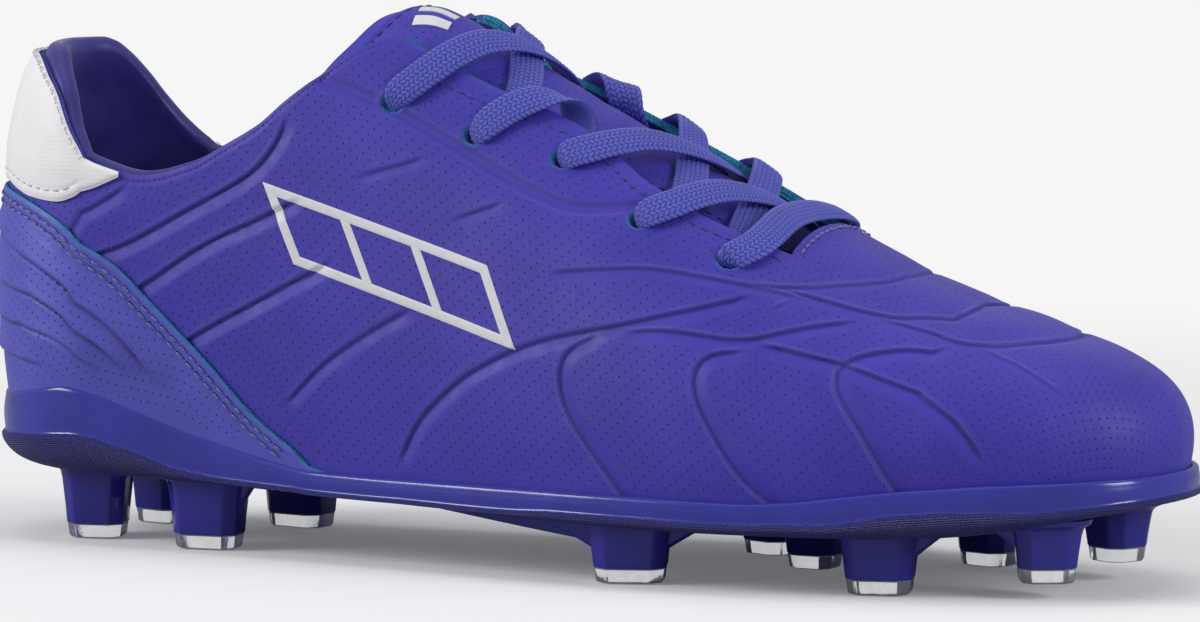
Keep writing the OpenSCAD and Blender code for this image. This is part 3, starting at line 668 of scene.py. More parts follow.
def make_materials():
    MAT["upper"] = skin("upper")
    MAT["overlay"] = skin("overlay", (0.108, 0.104, 0.56), rough=0.48)
    MAT["tongue"] = skin("tongue_face")
    MAT["edge"] = cut_edge("raw_edge", (0.03, 0.25, 0.36), (0.010, 0.13, 0.30),
                           (0.055, 0.36, 0.58), rough=0.8, spec=0.2, scale=2.4, dist=0.2,
                           strength=0.9)
    MAT["blue_edge"] = cut_edge("blue_edge", BLUE, (0.05, 0.045, 0.28), (0.12, 0.13, 0.46),
                                rough=0.7, spec=0.25, scale=1.8, dist=0.12, strength=0.8)
    # key, name, colour, roughness, noise scale, relief, sheen
    for key, name, base, rough, scale, dist, sheen in (
            ("backing", "teal_backing", (0.014, 0.17, 0.30), 0.85, 2.6, 0.12, 0.2),
            ("inner", "knit_lining", (0.022, 0.019, 0.13), 0.85, 2.6, 0.10, 0.2),
            ("board", "fibre_board", (0.62, 0.58, 0.46), 0.9, 1.8, 0.1, 0.0),
            ("stiff", "stiffener_sheet", (0.52, 0.47, 0.36), 0.6, 0.9, 0.06, 0.0),
            ("foam", "eva_foam", (0.045, 0.045, 0.06), 0.85, 1.4, 0.1, 0.0),
            ("cover", "insole_cover_knit", (0.05, 0.042, 0.26), 0.9, 2.4, 0.14, 0.35)):
        MAT[key] = fibrous(name, base, shade(base, 0.78), shade(base, 1.2), rough, spec=0.25,
                           scale=scale, dist=dist, strength=0.9, sheen=sheen)
    for name, base in (("thread", (0.10, 0.17, 0.33)), ("thread_pale", (0.72, 0.72, 0.78)),
                       ("thread_blue", (0.045, 0.05, 0.27)),
                       ("thread_grey", (0.13, 0.19, 0.42))):
        MAT[name] = fibrous(name, base, shade(base, 0.6), shade(base, 1.3), rough=0.55,
                            spec=0.4, scale=3.2, dist=0.1, strength=0.8, sheen=0.3)
    for key, make in (("satin", satin), ("white", white_leather), ("print", white_print),
                      ("hole", needle_hole_shade), ("plate", plate_plastic), ("stud", stud_plastic),
                      ("clear", clear_plastic), ("aglet", lace_end), ("lace", woven_lace)):
        MAT[key] = make()


# ------------------------------------------------------------------ pressed lines of the upper
# Columns: (way, climb) points for the lateral side, which the medial side mirrors; the side the
# ramp falls on (L left, R right, S both); depth; ramp width; fades at its start; at its end.
LINES = [
    ([(1.06,29.5),(1.03,27.3),(1.0,25),(0.95,22.5)], "L", .34, 2.2, 1, 0),
    ([(1.245,40),(1.24,37),(1.23,35),(1.21,32),(1.18,29.6),(1.14,26.6),(1.09,23.6),(1.06,21.8),
      (1.02,19.8)], "L", .46, 2.3, 1, 0),
    ([(1.275,30.5),(1.22,26.8),(1.17,23.7),(1.12,20),(1.07,16)], "L", .46, 2.3, 1, 0),
    ([(1.315,24.2),(1.27,21),(1.22,17.5),(1.19,15.4),(1.16,13.2),(1.12,10)], "L", .46, 2.3, 1, 0),
    ([(1.42,21.6),(1.40,20),(1.35,16),(1.30,12),(1.265,8),(1.252,6.3)], "L", .36, 2.2, 1, 1),
    ([(1.26,46),(1.32,46.2),(1.38,46),(1.44,45.8),(1.51,45),(1.555,44.8),(1.585,45.2),
      (1.61,46.8),(1.64,50),(1.67,54),(1.683,57)], "S", .34, 1.15, 1, 1),
    ([(1.33,34.4),(1.39,39),(1.42,42.4)], "R", .30, 1.5, 1, 1),
    ([(1.45,34.2),(1.49,38),(1.52,41.6)], "R", .30, 1.5, 1, 1),
    ([(1.575,32.6),(1.64,37),(1.69,41),(1.75,44.6),(1.79,47.4),(1.83,50.2),(1.87,51.6)],
     "R", .30, 1.7, 1, 1),
    ([(1.398,1.6),(1.41,4),(1.42,7),(1.45,10.5),(1.48,14),(1.52,17.4),(1.55,20),(1.59,23),
      (1.63,25.6),(1.67,28.6),(1.71,32.4),(1.75,37),(1.79,43),(1.81,47)], "R", .42, 2.2, 1, 1),
    ([(1.66,27),(1.63,24.3),(1.61,22),(1.60,19.6),(1.60,16.6),(1.61,13),(1.63,9.6),(1.65,6.2),
      (1.67,3),(1.69,-1)], "L", .40, 2.2, 1, 0),
    ([(1.82,33.2),(1.79,31),(1.77,28.8),(1.76,25.8),(1.76,22),(1.77,18.6),(1.79,13.6),
      (1.81,8.4),(1.83,4),(1.86,-1)], "L", .42, 2.3, 1, 0),
    ([(1.67,27.4),(1.71,30),(1.75,32),(1.78,33.2),(1.80,34.3),(1.82,36),(1.86,42),(1.92,51)],
     "R", .38, 2.0, 1, 1),
    ([(1.82,35.4),(1.87,36.4),(1.92,36.6),(1.98,33),(2.04,29.3),(2.14,22.8),(2.21,14.6),
      (2.26,6)], "R", .42, 2.4, 1, 1),
    ([(2.09,50),(1.98,46.3),(1.94,41.4),(1.92,38),(1.912,35),(1.91,31.6),(1.92,26.8),
      (1.94,20.6),(1.96,12),(1.985,-1)], "L", .42, 2.4, 1, 0),
    ([(1.79,47.4),(1.81,49.4),(1.84,52.4),(1.865,57),(1.90,65.6),(1.92,74),(1.925,90)],
     "R", .30, 1.5, 1, 0),
    ([(1.83,51),(1.87,53.4),(1.92,54.6),(1.95,57),(1.98,63),(2.04,73),(2.1,83),(2.12,90)],
     "R", .36, 1.8, 1, 0),
    ([(1.82,42),(1.84,47.4),(1.855,52)], "R", .16, 1.0, 1, 1),
    ([(1.93,55.2),(1.99,55),(2.08,53),(2.17,52.4),(2.28,54),(2.42,57.4),(2.62,62),(2.84,65),
      (3.0,65.6)], "R", .36, 1.9, 1, 0),
    ([(2.2,51.6),(2.30,49),(2.40,45),(2.48,39),(2.56,31)], "R", .22, 1.4, 1, 1),
]
PRESS = 1.3             # multiplies the depths above
# soft wide hollows along some of the lines: points, depth, width
HOLLOWS = [
    ([(1.84,52.4),(1.865,57),(1.90,65.6),(1.92,74),(1.925,90)], .30, 3.2),
    ([(1.92,54.6),(1.95,57),(1.98,63),(2.04,73),(2.1,83),(2.12,90)], .36, 3.6),
    ([(2.17,52.4),(2.28,54),(2.42,57.4),(2.62,62),(2.84,65),(3.0,65.6)], .40, 4.0),
    ([(1.44,45.8),(1.51,45),(1.585,45.2),(1.64,50),(1.67,54)], .18, 3.0),
    ([(1.76,22),(1.77,18.6),(1.79,13.6),(1.81,8.4)], .14, 4.0),
    ([(1.60,19.6),(1.60,16.6),(1.61,13),(1.63,9.6)], .14, 4.0),
]
# pleats of the heel overlay, as (way, climb) points
PLEATS = [
    [(0,24),(0.3,23.4),(0.51,22.1),(0.78,18.3),(0.97,14.6),(1.03,11.6),(1.07,8.4),(1.09,5.9),
     (1.108,4.0)],
    [(0,17),(0.3,16.5),(0.55,15.6),(0.75,14.1),(0.93,10.9),(1.02,8.3),(1.05,6.1),(1.07,3.8)],
    [(0,12),(0.28,11.5),(0.5,10.9),(0.69,9.9),(0.87,7.6),(1.0,5.6),(1.03,3.2)],
    [(0,7.4),(0.35,6.7),(0.6,5.6),(0.84,3.4)],
]
EYE_X = [84.5, 100.5, 117, 133, 149.5]
EYE_IN = 5.2            # from the edge of the lace opening to the holes

def eyelet_y(side, x):
    return side * (float(THROAT(side, x)) + EYE_IN)

def surface_path(points, side, sigma=4.5):
    """Smoothed path on the last: points, directions, normals and running length."""
    scale = [TOE_X - HEEL_X, 0.8]       # about mm in one way and in one degree of climb
    path = blur(resample(np.array(points, float) * scale, 0.5), sigma) / scale
    place = side * path[:, 0], np.minimum(path[:, 1], 90)
    line = on_last(*place)
    return line, unit(np.gradient(line, axis=0)), normal(*place), run_lengths(line)

def nearest(points, path, side, reach):
    """Points near a path: their index, signed distance and place along it.

    The distance is positive on the left, seen from outside on the lateral side.
    """
    line, ahead, out, lengths = path
    boxed = (points >= line.min(0) - reach) & (points <= line.max(0) + reach)
    picked = np.where(boxed.all(1))[0]
    found = [np.zeros((3, 0))]
    for k in range(0, len(picked), 6000):
        index = picked[k:k + 6000]
        j = ((points[index][:, None] - line[None]) ** 2).sum(-1).argmin(1)
        offset = points[index] - line[j]
        along = (offset * ahead[j]).sum(1)
        beyond = np.where(j == 0, np.maximum(along, 0), np.minimum(along, 0))
        kept = np.where((j > 0) & (j < len(line) - 1), along, beyond)
        gap = np.linalg.norm(offset - kept[:, None] * ahead[j], axis=1)
        sign = np.sign((np.cross(out[j], ahead[j]) * offset).sum(1)) * -side
        found.append(np.stack([index, gap * np.where(sign == 0, 1, sign),
                               lengths[j] + np.clip(along, -20, 20)]))
    index, dist, length = np.concatenate(found, 1)
    near = np.abs(dist) < reach
    return index[near].astype(int), dist[near], length[near]

def emboss(points, side):
    """Height of the pressed relief, with masks for the dots, for a painted highlight on the lips and
    for painted shade in the creases.
    """
    low, raised, lip, crease_shade = np.zeros((4, len(points)))
    dots = np.ones(len(points))
    for line, kind, depth, width, fade_in, fade_out in LINES:
        path = surface_path(line, side)
        i, d, along = nearest(points, path, side, width + 2.5)
        depth *= PRESS
        fade = smooth(along / 4.0) if fade_in else 1.0
        fade = fade * (smooth((path[3][-1] - along) / 4.0) if fade_out else 1.0)
        if kind == "S":
            height = -depth * bell(d, width, 4)
            near = bell(d, width + 0.5, 8)
            # shine is a painted highlight beside the channel, dark is painted shade inside it
            shine = bell(np.abs(d) - width - 0.1, 0.3) * 0.5
            dark = 0.35 * bell(np.abs(d) - width + 0.35, 0.4)
        else:
            d = d if kind == "L" else -d
            height = np.where(d < 0, -depth * smooth((d + 0.42) / 0.45),
                              -depth * np.clip(1 - d / width, 0, 1)) + 0.06 * bell(d + 0.75, 0.4)
            near = smooth((d + 0.9) / 0.3) * smooth((width + 0.5 - d) / 0.4)
            # shine is a painted highlight on the lip above the crease, dark is painted shade in the
            # crease
            shine = bell(d + 0.62, 0.26)
            dark = bell(d + 0.02, 0.34) * min(depth / 0.5, 1)
        low[i] = np.minimum(low[i], height * fade)
        raised[i] = np.maximum(raised[i], height * fade)
        lip[i] = np.maximum(lip[i], shine * fade)
        crease_shade[i] = np.maximum(crease_shade[i], dark * fade)
        dots[i] = np.minimum(dots[i], 1 - near * np.minimum(fade * 1.5, 1))
    height = low + raised
    for line, depth, width in HOLLOWS:
        path = surface_path(line, side)
        i, d, along = nearest(points, path, side, width * 2.6)
        fade = smooth(along / 6.0)
        if line[-1][1] < 60:
            fade = fade * smooth((path[3][-1] - along) / 6.0)
        height[i] -= depth * bell(d, width) * fade
    return height, dots, lip, crease_shade

def flat_uv(way, climb):
    """Unrolled place in mm: along the boot, and down from the ridge."""
    way = wrapped(way)
    dist = np.abs(way)
    girth = np.zeros(way.shape)
    ways, climbs = np.meshgrid(np.linspace(0, 3, 301), np.linspace(90, -6, 193), indexing="ij")
    for side, _ in SIDES:
        here = way * side >= 0
        lengths = run_lengths(on_last(side * ways, climbs))
        row = np.clip(dist[here] * 100, 0, 299.999)
        col = np.clip((90 - climb[here]) * 2, 0, 191.999)
        i, j = row.astype(int), col.astype(int)
        a, b = row - i, col - j
        girth[here] = ((lengths[i, j] * (1 - a) + lengths[i + 1, j] * a) * (1 - b)
                       + (lengths[i, j + 1] * (1 - a) + lengths[i + 1, j + 1] * a) * b)
    turn = np.radians((3 - dist) * 90)
    heel = HEEL_X - 27 * (1 - dist) * math.pi / 2
    u = np.where(dist > 2, TOE_X + girth * np.cos(turn), np.where(dist < 1, heel, x_of(dist)))
    return np.stack([u, np.where(dist > 2, girth * np.sin(turn), girth)], -1)


# ------------------------------------------------------------------ upper
THROAT_WAY = float(way_at(THROAT_X))
half = np.concatenate([np.linspace(a, b, count // COARSE + 1)[:-1] for a, b, count in (
    (0, 1, 84), (1, THROAT_WAY, 288), (THROAT_WAY, 2, 60))] + [np.linspace(2, 3, 102 // COARSE + 1)])
# lateral side from heel to toe, then medial side from toe to heel
UPPER_WAYS = np.concatenate([-half, half[::-1][1:-1]])

def climb_grid(ways, low, edge, lower, upper):
    """Ways and climbs of a grid from low to the free edge, and on to the ridge."""
    edge = edge[:, None]
    low = np.broadcast_to(low, ways.shape)[:, None]
    climbs = np.concatenate([low + (edge - low) * np.linspace(0, 1, lower + 1),
                             edge + (90 - edge) * np.linspace(0, 1, upper + 1)[1:]], 1)
    return np.repeat(ways[:, None], climbs.shape[1], 1), climbs

def nearer(ways):
    """Distance round from the heel of each cell's nearer side."""
    return np.minimum(np.abs(ways), np.roll(np.abs(ways), -1))

def make_upper():
    lower, upper = 150 // COARSE, 36 // COARSE
    edge = edge_climb(UPPER_WAYS)
    way, climb = climb_grid(UPPER_WAYS, floor_z(UPPER_WAYS) - rim_z(UPPER_WAYS), edge,
                            lower, upper)
    points = on_last(way, climb)
    height, lip, painted_shade, teal = np.zeros((4,) + way.shape)
    dots = np.ones(way.shape)
    for side, _ in SIDES:
        here = (way * side >= 0) & (np.abs(way) > 0.9)
        height[here], dots[here], lip[here], painted_shade[here] = emboss(points[here], side)
    # the painted shade of the creases is used at a little under half strength
    painted_shade *= 0.42
    for side, _ in SIDES:
        for x in EYE_X:
            centre = lifted_xy(x, eyelet_y(side, x), 0.0)
            dist = np.linalg.norm((points - centre) * [0.85, 1, 1], axis=2)
            near = dist < 4
            r = dist[near]
            height[near] += -1.0 * (1 - smooth((r - 1.25) / 0.45)) + 0.10 * bell(r - 2.1, 0.5)
            # painted shade: a dark disc in each eyelet stands in for the shade inside the hole
            painted_shade[near] = np.maximum(painted_shade[near], 1 - smooth((r - 1.2) / 0.3))
            teal[near] = np.maximum(teal[near], bell(r - 1.62, 0.24, 4))
            dots[near] = np.minimum(dots[near], smooth((r - 2.4) / 0.4))
    # every free edge rolls gently down, and a sewn groove follows the collar
    edge_v = flat_uv(UPPER_WAYS, np.minimum(edge, 90))[:, 1:]
    to_edge = np.abs(flat_uv(way, np.minimum(climb, 90))[..., 1] - edge_v)
    free = np.abs(way) < THROAT_WAY + 0.001
    height -= np.where(free, 0.30 * bell(to_edge, 0.55), 0)
    height -= np.where(free & (np.abs(way) < way_at(CROWN_X)),
                       0.16 * bell(to_edge - 1.15, 0.42), 0)
    dots = np.minimum(dots, np.where(free, smooth((to_edge - 1.9) / 0.3), 1))
    dots = np.minimum(dots, smooth((climb - 0.8) / 0.5))
    # slight overall unevenness
    x, z = points[..., 0], points[..., 2]
    height += 0.045 * np.sin(x * 0.21 + 1.3 * np.sin(z * 0.17)) * np.sin(z * 0.26 + x * 0.09)
    on = np.ones((way.shape[0], way.shape[1] - 1), bool)
    on[:, lower:] = (nearer(UPPER_WAYS) > THROAT_WAY - 1e-6)[:, None]
    verts, faces, parts = slab(points + height[..., None] * normal(way, climb),
                               lifted(way, climb, -1.2), on, closed=True, stride=3)
    # the cut edge is blue round the collar and teal elsewhere
    for k, face in enumerate(faces):
        if parts[k] == 2:
            x, _, z = verts[face].mean(0)
            if x < CROWN_X + 2 and z > 40:
                parts[k] = 3
    build("upper_skin", verts, faces, "upper backing edge blue_edge", "upper", "upper_shell",
          face_mats=parts, uv=flat_uv(way, climb), sharp=62,
          attrs={"dots": dots, "lip": lip, "painted_shade": painted_shade, "teal": teal})


# ------------------------------------------------------------------ heel overlay and tab
OVERLAY_SEAMS = (1.5, 2.75)     # distances of its two stitch rows behind the cut edge

def pleat_relief(points, side):
    """Height, dot mask and shadow mask of the pleats; each overhangs the one below."""
    height, dark = np.zeros((2, len(points)))
    near = np.ones(len(points))
    for line in PLEATS:
        path = surface_path(line, side, sigma=4.0)
        i, d, along = nearest(points, path, side, 9)
        fade = smooth((path[3][-1] - along) / 7.0)
        step = np.where(d > 0, 0.85 * np.exp(-d / 3.4), 0.85 * smooth((d + 0.6) / 0.65))
        step = (step - 0.30 * bell(d + 0.45, 0.5)) * fade
        height[i] = np.where(np.abs(step) > np.abs(height[i]), step, height[i])
        dark[i] = np.maximum(dark[i], bell(d + 0.42, 0.42) * fade)
        near[i] = np.minimum(near[i], 1 - bell(d + 0.3, 0.9) * fade)
    return height, near, dark

def patch(end, bottom, top, columns, rows):
    """Ways and climbs of a grid round the heel, between two edges given over the way."""
    ways = np.linspace(-end, end, columns + 1)
    low = bottom(ways)[:, None]
    climbs = low + (top(ways)[:, None] - low) * np.linspace(0, 1, rows + 1)
    return np.repeat(ways[:, None], rows + 1, 1), climbs

def overlay_top(way):
    """Top edge of the overlay, brought down to the rim at its ends."""
    fade = smooth((np.abs(way) - 1.262) / 0.045)
    return climb_z(way, OVERLAY(np.abs(way)) * (1 - fade) + (rim_z(way) + 0.12) * fade)

def make_overlay():
    way, climb = patch(1.306, lambda w: climb_z(w, rim_z(w) + 0.1), overlay_top,
                       columns=390 // COARSE, rows=96 // COARSE)
    points = on_last(way, climb)
    height, dark = np.zeros((2,) + way.shape)
    near = np.ones(way.shape)
    for side, _ in SIDES:
        here = way * side >= 0
        height[here], near[here], dark[here] = pleat_relief(points[here], side)
    ends = np.linspace(-1.305, 1.305, 520)
    line = on_last(ends, overlay_top(ends))
    flat = points.reshape(-1, 3)
    to_edge = np.concatenate([
        np.sqrt(((flat[k:k + 8000, None] - line[None]) ** 2).sum(-1)).min(1)
        for k in range(0, len(flat), 8000)]).reshape(way.shape)
    fade = smooth((to_edge - 3.0) / 2.5)
    height = 0.95 + height * fade - 0.28 * bell(to_edge, 0.4)
    for seam in OVERLAY_SEAMS:
        height -= 0.16 * bell(to_edge - seam, 0.35)
    verts, faces, parts = slab(points + height[..., None] * normal(way, climb),
                               lifted(way, climb, 0.16), stride=3)
    dots = np.minimum(smooth((to_edge - 3.6) / 0.5), near) * smooth((climb - 0.9) / 0.6)
    # painted shade: the shadow under each overhanging pleat is painted into the colour
    build("heel_overlay_skin", verts, faces, "overlay backing edge", "overlay", "heel_overlay",
          face_mats=parts, uv=flat_uv(way, climb), sharp=62,
          attrs={"dots": dots, "lip": 0, "painted_shade": dark * fade * 0.5,
                 "teal": bell(to_edge, 0.38)})

def inside_edge(dist):
    """Line 1 mm off the last, a fixed distance below the overlay's top edge, and its normals."""
    ways = np.linspace(-1.262, 1.262, 260)
    climbs = climb_z(ways, OVERLAY(np.abs(ways)))
    line = on_last(ways, climbs)
    down = unit(np.cross(unit(np.gradient(line, axis=0)), normal(ways, climbs)))
    down = np.where(down[:, 2:3] > 0, -down, down)
    line = line + down * dist
    way, climb = (grid.reshape(-1) for grid in np.meshgrid(
        np.linspace(-1.3, 1.3, 521), np.linspace(-2, 62, 140), indexing="ij"))
    surface = on_last(way, climb)
    j = np.array([((surface - point) ** 2).sum(1).argmin() for point in line])
    out = normal(way[j], climb[j])
    height = ((surface[j] - line) * out).sum(1, keepdims=True) + 1.0
    return blur(line + out * height, 2.0), out

def make_overlay_stitching():
    parts, holes = [], []
    for seam in OVERLAY_SEAMS:
        line, out = inside_edge(seam)
        parts += stitches(line, out, length=1.75, gap=0.75, radius=0.20, lift=0.10)
        # dark blobs at the stitch ends: painted shade in the needle holes
        holes += stitches(line - out * 0.10, out, length=0.35, gap=2.15, radius=0.24, lift=0.0)
    build("overlay_stitching", *merge(parts), "thread_grey", "thread", "heel_stitching",
          weld=False)
    build("overlay_needle_holes", *merge(holes), "hole", "thread", weld=False)

def make_edge_fibres():
    """Loose fibres along the overlay's cut edge, away from the back of the heel."""
    parts = []
    for _ in range(70):
        way = RNG.uniform(-1.27, 1.27)
        if abs(way) < 0.5:
            continue
        climb = climb_z(way, OVERLAY(abs(way)))
        out = normal(way, climb)
        up = unit(on_last(way, climb + 1) - on_last(way, climb))
        side = np.cross(up, out)
        length = RNG.uniform(0.5, 1.5)
        ahead = unit(up + side * RNG.normal(0, 0.8) + out * RNG.uniform(0.05, 0.5))
        bend = RNG.normal(0, 0.4) * side
        root = lifted(way, climb, 0.5)
        parts.append(tube([oval(root + ahead * length * u + bend * length * u * u,
                                0.035 * (1.1 - u), side, out, count=3)
                           for u in (0, 0.35, 0.7, 1)]))
    build("edge_fibres", *merge(parts), "thread_grey", "thread", weld=False)

def make_tab():
    end = 1.045
    way, climb = patch(end, lambda w: climb_z(w, TAB_LOW(np.abs(w))), edge_climb,
                       columns=280 // COARSE, rows=64 // COARSE)
    points = on_last(way, climb)
    share = np.linspace(0, 1, way.shape[1])[None]
    tall = np.linalg.norm(points[:, -1] - points[:, 0], axis=1)[:, None] + 1e-6
    to_low, to_top = share * tall, (1 - share) * tall
    to_end = (1 - np.abs(way) / end) * 33
    to_edge = np.minimum(np.minimum(to_low, to_top), to_end + 0.4 * tall)
    x, y, z = np.moveaxis(points, -1, 0)
    height = (0.88 + 0.40 * smooth(to_low / 7) * smooth(to_top / 6)
              - 0.14 * bell(to_low - 1.9, 0.32) * (np.abs(way) < 1.0)
              - 0.35 * bell(to_edge, 0.45) + 0.03 * np.sin(z * 0.9 + x * 0.3) * np.sin(y * 0.5))
    verts, faces, _ = slab(points + height[..., None] * normal(way, climb),
                           lifted(way, climb, 0.16), stride=2)
    build("heel_tab_skin", verts, faces, "white white white", "tab", "heel_tab", sharp=60)
    ways = np.linspace(-0.97, 0.97, 200)
    place = ways, climb_z(ways, TAB_LOW(np.abs(ways)) + 1.9)
    parts = stitches(lifted(*place, 0.88), normal(*place), length=1.5, gap=0.8, radius=0.17,
                     lift=0.06)
    build("tab_stitching_row", *merge(parts), "thread_pale", "thread_pale", "tab_stitching",
          weld=False)


# ------------------------------------------------------------------ stud plate
# height of the upper limit of the knurled band, and its width underneath, over x
KNURL_Z = Profile((0,18.2), (15,19), (25,19.6), (35,17.6), (45,14.6), (55,13.3), (80,12.2),
                  (111,11.6), (132,12.4), (150,12.2), (172,12.4), (182,14), (192,15),
                  (204,15.1), (214,15.9), (222,16.8))
KNURL_WIDE = Profile((0,8), (20,7), (40,4.5), (60,3), (110,2.2), (150,3.2), (190,5), (210,7),
                     (222,8))
half = np.concatenate([np.linspace(0, 1, 60 // COARSE + 1)[:-1],
                       np.linspace(1, 2, 210 // COARSE + 1)[:-1],
                       np.linspace(2, 3, 72 // COARSE + 1)])
PLATE_WAYS = np.concatenate([-half, half[::-1][1:-1]])

def walled(way, inset, z, share=1.0):
    """Points inset from the rim of the last, at a share of the way out from its axis."""
    sec = section(way)
    radius = (sec.reach - TUCK(sec.wall_x) - inset) * share
    return np.stack([sec.x + sec.dx * radius, mid(sec.x) + sec.dy * radius,
                     np.asarray(z, float) + 0 * radius], -1)

def make_plate():
    wall_x = section(PLATE_WAYS).wall_x
    rim, under = rim_z(PLATE_WAYS), under_z(PLATE_WAYS)
    knurl_z = np.minimum(KNURL_Z(wall_x), rim - 3.4)
    rows, knurls = [], []

    def row(inset, z, share=1.0, knurl=0):
        rows.append(walled(PLATE_WAYS, inset, z, share))
        knurls.append(knurl)

    # rounded lip: inset, height over the rim
    for inset, rise in ((-0.15, -1.0), (-0.30, 0.02), (-0.55, 0.16), (-0.95, 0.10),
                        (-1.25, -0.16), (-1.38, -0.50)):
        row(inset, rim + rise)
    tall = (rim - 0.9) - (knurl_z + 0.55)
    for u in np.linspace(0, 1, 9):
        row(-1.42 - 0.28 * math.sin(math.pi * u) * np.clip(tall / 6, 0, 1) - 0.12 * u,
            rim - 0.9 - tall * u)
    for inset, rise, knurl in ((-1.62, 0.25, 0), (-1.86, 0.02, 1), (-2.10, -0.28, 1)):
        row(inset, knurl_z + rise, knurl=knurl)
    wide, top = KNURL_WIDE(wall_x), knurl_z - 0.5
    for k in range(13):
        angle = math.radians(90 * k / 12)
        row(-2.2 + wide * (1 - math.cos(angle)), top - (top - under) * math.sin(angle),
            knurl=1 if k <= 8 else 0.6 if k <= 10 else 0)
    for share in (0.97, 0.93, 0.87, 0.8, 0.7, 0.6, 0.5, 0.4, 0.3, 0.2, 0.1, 0.0):
        row(-2.2 + wide, under, share)
        # two long stiffening ribs and a shallow arch between them
        x, y = rows[-1][:, 0], rows[-1][:, 1] - mid(rows[-1][:, 0])
        rib = bell(np.abs(y) - 9.5, 2.6) * smooth((x - 52) / 18) * smooth((128 - x) / 16)
        arch = smooth((0.95 - share) / 0.3) * smooth((x - 10) / 10) * smooth((212 - x) / 10)
        rows[-1][:, 2] += -1.1 * rib + 0.5 * arch
    outer = np.stack(rows, 1)
    # the inside, which leads back to the first row
    floor = under + 2
    for share in (0.0, 0.2, 0.4, 0.6, 0.8, 1.0):
        row(0.0, floor, share)
    row(-0.15, (rim + floor) / 2)
    points = np.stack(rows, 1)
    count, size = points.shape[:2]
    around = outer[:, 8]
    uv = np.zeros((count, size, 2))
    uv[..., 0] = run_lengths(around)[:, None]
    uv[:, :outer.shape[1], 1] = run_lengths(outer)
    faces = quads(vertex_ids(count, size).T, closed_rows=True, closed_cols=True).tolist()
    build("stud_plate", points.reshape(-1, 3), faces, "plate", "plate", "outsole_plate", uv=uv,
          attrs={"knurl": np.tile(np.array(knurls, float), count)}, sharp=70)


# place, length, width, turn in degrees, reach of the fins at its front and back ends
Stud = namedtuple("Stud", "x y length width turn ahead behind")
HEEL_STUDS = [Stud(21, -12, 10, 8.5, 14, 0, 0), Stud(21, 12, 10, 8.5, -14, 0, 0),
              Stud(46.5, -17, 11.5, 8.5, 8, 4, 0), Stud(46.5, 17, 11.5, 8.5, -8, 4, 0)]
FORE_STUDS = [Stud(132.5, -25, 12, 9.5, 20, 9, 9), Stud(139, 19, 9.5, 8.5, -20, 5, 5),
              Stud(153.5, 4.5, 8.5, 8, 0, 4, 4), Stud(176.5, -20.5, 11, 9, 16, 6, 0),
              Stud(179, 21, 9.5, 8, -16, 5, 0), Stud(203.5, -13.5, 9.5, 8.5, 28, 0, 6),
              Stud(205.5, 13.5, 9, 8.5, -28, 0, 6)]
TIP = 2.6               # height of the clear tip
# stud body rows: growth of the outline, height over the tip, share of the height, rounding
BODY_ROWS = [(-.75, -.35, 0, .2), (-.30, -.30, 0, .25), (.02, -.05, 0, .35), (.12, .10, 0, .35),
             (.36, 0, .28, .4), (.62, 0, .52, .45), (.90, 0, .76, .6), (1.20, 0, .88, .9),
             (1.75, 0, .955, 1.3), (2.5, 0, 1, 1.8), (2.8, .9, 1, 2.0)]
# tip rows: growth of the outline, height over the lowest point, rounding
TIP_ROWS = [(-1.6, .10, .2), (-1.3, 0, .2), (-.70, 0, .2), (-.42, .16, .25), (-.28, .5, .25),
            (-.02, TIP - .15, .3), (0, TIP, .3), (-.35, TIP + .02, .3)]
# long ribs from the waist to the rear forefoot studs: x, y, end x, end y, lowest z
LONG_RIBS = ((78, -20.5, 127.5, -25.5, 6.3), (92, 17, 134, 19.5, 6.8))

def octagon(stud, grow, z, corner_points, rounding):
    """Chamfered stud outline with rounded corners."""
    a, b = stud.length / 2 + grow, stud.width / 2 + grow
    c = min(a, b) * 0.45
    corners = np.array([[a-c,-b], [a,-b+c], [a,b-c], [a-c,b], [-a+c,b], [-a,b-c], [-a,-b+c],
                        [-a+c,-b]], float)
    points = []
    for k, corner in enumerate(corners):
        before, after = corners[k - 1] - corner, corners[(k + 1) % 8] - corner
        r = min(rounding, 0.45 * min(np.linalg.norm(before), np.linalg.norm(after)))
        start, end = corner + unit(before) * r, corner + unit(after) * r
        for t in np.linspace(0, 1, corner_points):
            points.append((1 - t) ** 2 * start + 2 * t * (1 - t) * corner + t * t * end)
    x, y = np.array(points).T
    turn = math.radians(stud.turn)
    return np.stack([stud.x + x * math.cos(turn) - y * math.sin(turn),
                     stud.y + x * math.sin(turn) + y * math.cos(turn), np.full(len(x), z)], -1)

def mirrored(half, middle=()):
    return [(-y, z) for y, z in half] + list(middle) + half[::-1]

def fin(stud, reach, sign, low, top):
    """Low web from one end of a stud up to the plate."""
    turn = math.radians(stud.turn)
    cos, sin = math.cos(turn) * sign, math.sin(turn) * sign
    start = stud.length / 2 - 1.5
    rings = []
    for u in np.linspace(0, 1, 7):
        along = start + (stud.length / 2 + reach - start) * u
        bottom = low + (top - 0.2 - low) * u ** 0.9
        w = 1.6 * (1 - 0.25 * u)
        outline = mirrored([(w * 2.0, top + 0.5), (w * 1.15, top - 0.5 * (1 - u)),
                            (w, bottom + 0.8), (w * 0.72, bottom + 0.2), (w * 0.3, bottom)])
        rings.append([[stud.x + along * cos - y * sin, stud.y + along * sin + y * cos,
                       min(z, top + 0.5)] for y, z in outline])
    return tube(rings)

def long_rib(x0, y0, x1, y1, low):
    rings = []
    for u in np.linspace(0, 1, 16):
        x, y = x0 + (x1 - x0) * u, y0 + (y1 - y0) * u
        top = float(UNDER_Z(x))
        bottom = top + 0.3 - (top + 0.3 - low) * u ** 1.15
        w = 1.3 + 0.8 * u
        outline = mirrored([(w * 2.6, top + 0.8), (w * 1.3, top - 0.2 * u), (w, bottom + 0.7),
                            (w * 0.5, bottom + 0.08)], [(0, bottom)])
        rings.append([[x, y + side, z] for side, z in outline])
    return tube(rings)

